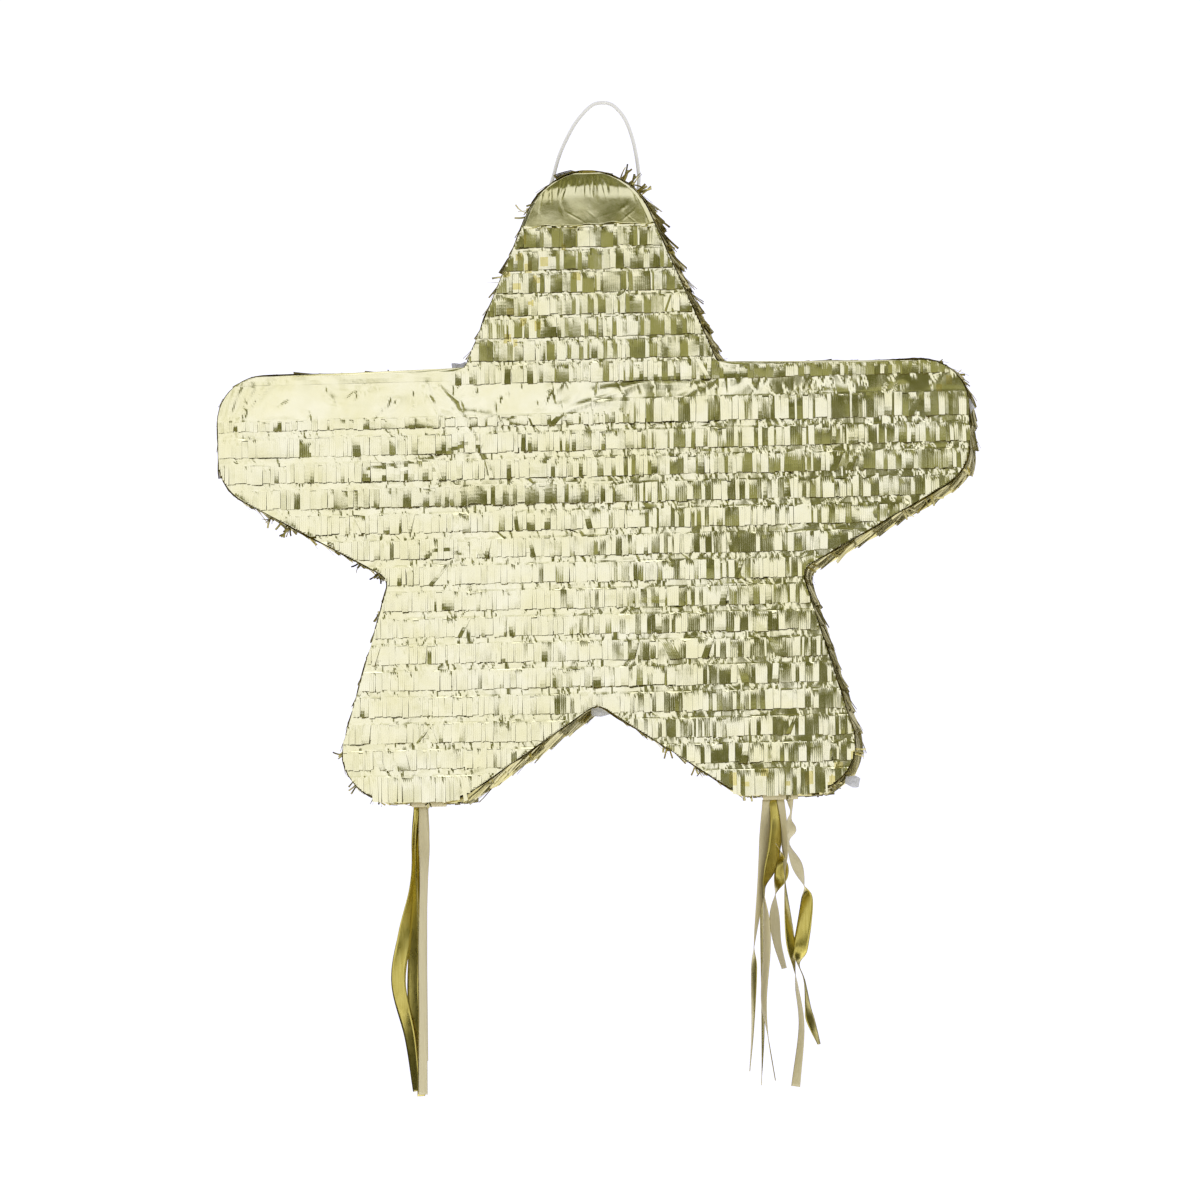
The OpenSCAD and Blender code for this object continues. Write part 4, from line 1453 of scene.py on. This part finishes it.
def make_tufts():
    """Strips of foil that have come loose at the edges."""
    rng = np.random.default_rng(700)
    parts = []
    for x, y, d, angle, count, length, fan in TUFTS:
        near = np.argmin(np.hypot(EDGE_P[:, 0] - x * MM, EDGE_P[:, 1] + d * MM))
        root = EDGE_P[near] - EDGE_N[near] * 1.5 * MM
        along_edge = EDGE_T[near] * rng.normal(0, 1.6 * MM, count)[:, None]
        a = np.radians(angle + rng.uniform(-1, 1, count) * fan)
        t = np.linspace(0, 1, EDGE_RINGS)[None, :]
        run = length * MM * rng.uniform(0.6, 1.0, count)[:, None] * t
        bend = rng.normal(0, 0.25, count)[:, None] * t
        cx = (root[0] + along_edge[:, 0])[:, None] + run * np.cos(a[:, None] + bend)
        cz = (root[1] + along_edge[:, 1])[:, None] + run * np.sin(a[:, None] + bend)
        cy = y * MM + rng.normal(0, 2.0 * MM, (count, 1)) + rng.normal(0, 0.15, (count, 1)) * run
        centres = np.stack([cx, cy, cz], -1)
        along = unit_rows(np.gradient(centres, axis=1))
        roll = rng.uniform(0.3, 1.4, count)[:, None] + rng.normal(0, 0.5, count)[:, None] * t
        side = unit_rows(np.cross(along, [0.0, 1.0, 0.0]))
        across = side * np.cos(roll)[..., None] + np.cross(along, side) * np.sin(roll)[..., None]
        width = np.full((count, EDGE_RINGS), TUFT_W)
        parts.append(strips(centres, across, np.cross(across, along), width))
    piece = make_mesh("foil_tufts", *join(parts))
    # The tufts are in the darker copy of the foil: painted shade
    finish_piece(piece, "star", [FOIL_EDGE_SHADE])


# Each bit of clear paper is x, y, depth in mm, width, height and angle in degrees
BITS = [(-231.5, -30, 185, 9, 7, 40), (236, -30, 197, 5, 8, 30), (2, -26, 383, 14, 5, 4),
        (40, -26, 396, 17, 5, -28), (158, -27, 430, 9, 6, -12), (-84, -28, 164, 9, 4, 8)]


def make_bits():
    """Scraps of thin paper that stick out from under the foil."""
    rng = np.random.default_rng(710)
    parts = []
    gu, gv = np.meshgrid(np.linspace(-0.5, 0.5, 12), np.linspace(-0.5, 0.5, 7), indexing="ij")
    for x, y, d, w, h, angle in BITS:
        a = math.radians(angle)
        u, v = gu * w * MM, gv * h * MM * (1 + 0.25 * np.sin(gu * 5 + x))
        wrinkle = waves(int(abs(x)) + 720, 0.006)(u, v) * 0.6 * MM
        verts = np.stack([x * MM + u * math.cos(a) - v * math.sin(a), y * MM + wrinkle,
                          -d * MM + u * math.sin(a) + v * math.cos(a)], -1)
        verts = verts + rng.normal(0, 0.05 * MM, verts.shape)
        parts.append(thicken(verts.reshape(-1, 3), grid_quads(*gu.shape).reshape(-1, 4),
                             np.array([0, FOIL_THICK, 0])))
    piece = make_mesh("paper_bits", *join(parts))
    finish_piece(piece, "star", [TISSUE])


make_front()
# The cap gets the darker copy of the foil, a painted dark reflection
finish_piece(make_mesh("foil_cap", *cap_sheet(90, 1), True), "star", [FOIL_CAP_SHADE],
             ["tip_foil"])
make_back()
make_edges()
make_door_foil("left", -1, 600)
make_door_foil("right", 1, 601)
make_tufts()
make_bits()

# ---- Light, floor and surroundings ------------------------------------------------------------


class Glow(Nodes):
    """A stage material that only glows, unevenly, as a soft box or a dim room does."""

    def __init__(self, name):
        super().__init__(name)
        self.tree.nodes.remove(self.shader)
        self.shader = self.add("ShaderNodeEmission")
        self.tree.links.new(self.shader.outputs["Emission"],
                            self.tree.nodes["Material Output"].inputs["Surface"])

    def sums(self, kind, *values):
        return self.add("ShaderNodeMath", enumerate(values), operation=kind).outputs[0]

    def fade(self, value, low, high):
        return self.add("ShaderNodeMapRange", {"Value": value, "From Min": low, "From Max": high},
                        interpolation_type="SMOOTHSTEP").outputs["Result"]


# Colours of the dim panel, the dark cards and the bright part, as stops of their noise
DIM = [(0.44, (0.12, 0.12, 0.038)), (0.70, (0.36, 0.36, 0.165))]
DARK = [(0.40, (0.05, 0.05, 0.03)), (0.70, (0.20, 0.20, 0.13))]
LIT = [(0.34, (0.74, 0.74, 0.70)), (0.44, (1.00, 1.00, 1.08)), (0.60, (1.10, 1.10, 1.30))]


# The dim panel spans this part of the soft box, in metres to the star's right
DIM_FROM, DIM_TO = 0.03, 0.38


def dim_room():
    """A dark part of the room, to the sides and behind."""
    m = Glow("dim_room")
    m.set(Color=m.ramp(m.noise(1.8), DARK), Strength=1.0)
    return m.material


def soft_box():
    """The room in front of the star: bright on the left, a dim panel on the right, and dimmer
    above."""
    m = Glow("soft_box")
    spot = m.add("ShaderNodeSeparateXYZ", {"Vector": m.place()})
    x, z = spot.outputs["X"], spot.outputs["Z"]
    jitter = m.sums("MULTIPLY", m.sums("SUBTRACT", m.noise(4.5), 0.5), 0.34)
    above = m.sums("MULTIPLY", m.fade(z, 0.17, 0.42), 0.70)
    below = m.sums("MULTIPLY", m.fade(z, -0.26, -0.40), 0.10)
    at = m.sums("ADD", x, jitter)
    near = m.sums("ADD", m.sums("ADD", at, above), below)
    dim = m.sums("MULTIPLY", m.fade(near, DIM_FROM - 0.03, DIM_FROM + 0.03),
                 m.sums("SUBTRACT", 1.0, m.fade(at, DIM_TO - 0.04, DIM_TO + 0.04)))
    mixed = m.add("ShaderNodeMix", data_type="RGBA")
    m.put(mixed, 0, dim)
    m.put(mixed, 6, m.ramp(m.noise(6.5, 2), LIT))
    m.put(mixed, 7, m.ramp(m.noise(3.0), DIM))
    m.set(Color=mixed.outputs[2], Strength=1.0)
    return m.material


CARD_CENTRE = (0.0, 0.0, -0.25)


def card(name, azimuths, elevations, distance, material):
    """A curved screen round the star that only its gloss sees."""
    az = np.radians(np.linspace(*azimuths, 25))
    el = np.radians(np.linspace(*elevations, 17))
    a, e = np.meshgrid(az, el, indexing="ij")
    way = np.stack([np.sin(a) * np.cos(e), -np.cos(a) * np.cos(e), np.sin(e)], -1)
    verts = CARD_CENTRE + distance * way
    screen = make_mesh(name, verts.reshape(-1, 3), grid_quads(*a.shape).reshape(-1, 4), True)
    screen.data.materials.append(material)
    screen.visible_camera = screen.visible_diffuse = False
    screen.visible_shadow = screen.visible_transmission = False


FLOOR_HALF = 8.0
FLOOR_Z = -1.5


def make_floor():
    """A white floor far below."""
    size, drop = FLOOR_HALF, FLOOR_Z
    verts = [(-size, -size, drop), (size, -size, drop), (size, size, drop), (-size, size, drop)]
    floor = make_mesh("floor", np.array(verts), np.array([[0, 1, 2, 3]]))
    m = Nodes("floor_white")
    m.set(Base_Color=(0.9, 0.9, 0.9, 1), Roughness=0.8, Emission_Color=(1, 1, 1, 1),
          Emission_Strength=0.6)
    floor.data.materials.append(m.material)


ROOM_COLOUR = (1.0, 1.0, 1.15, 1)
ROOM_STRENGTH = 1.06
BOX_DISTANCE = 1.1
CARD_DISTANCE = 1.8
# Azimuths and elevations of each dark card in degrees; the star's front faces azimuth 0
DARK_CARDS = {"dark_behind_left": ((150, 190), (-25, 35)), "dark_side": ((66, 130), (-30, 30)),
              "dark_other_side": ((-140, -68), (-40, 40))}


def make_light():
    """An even bright room, with a soft box in front and dark cards round it."""
    world = bpy.data.worlds.new("studio")
    bpy.context.scene.world = world
    world.use_nodes = True
    back = world.node_tree.nodes["Background"]
    back.inputs["Color"].default_value = ROOM_COLOUR
    back.inputs["Strength"].default_value = ROOM_STRENGTH
    card("room_front", (-62, 62), (-48, 62), BOX_DISTANCE, soft_box())
    dim = dim_room()
    for name, (azimuths, elevations) in DARK_CARDS.items():
        card(name, azimuths, elevations, CARD_DISTANCE, dim)
    bpy.context.scene.view_settings.view_transform = "Standard"


make_floor()
make_light()

for _name in ("front_panel", "back_panel", "fill_flap", "cap_stiffener", "top_arm_wall",
              "right_arm_wall", "right_leg_wall", "left_leg_wall", "left_arm_wall",
              "left_trap_door", "right_trap_door"):
    _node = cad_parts[_name]
    _node.data.materials.clear()
    _node.data.materials.append(CARD)
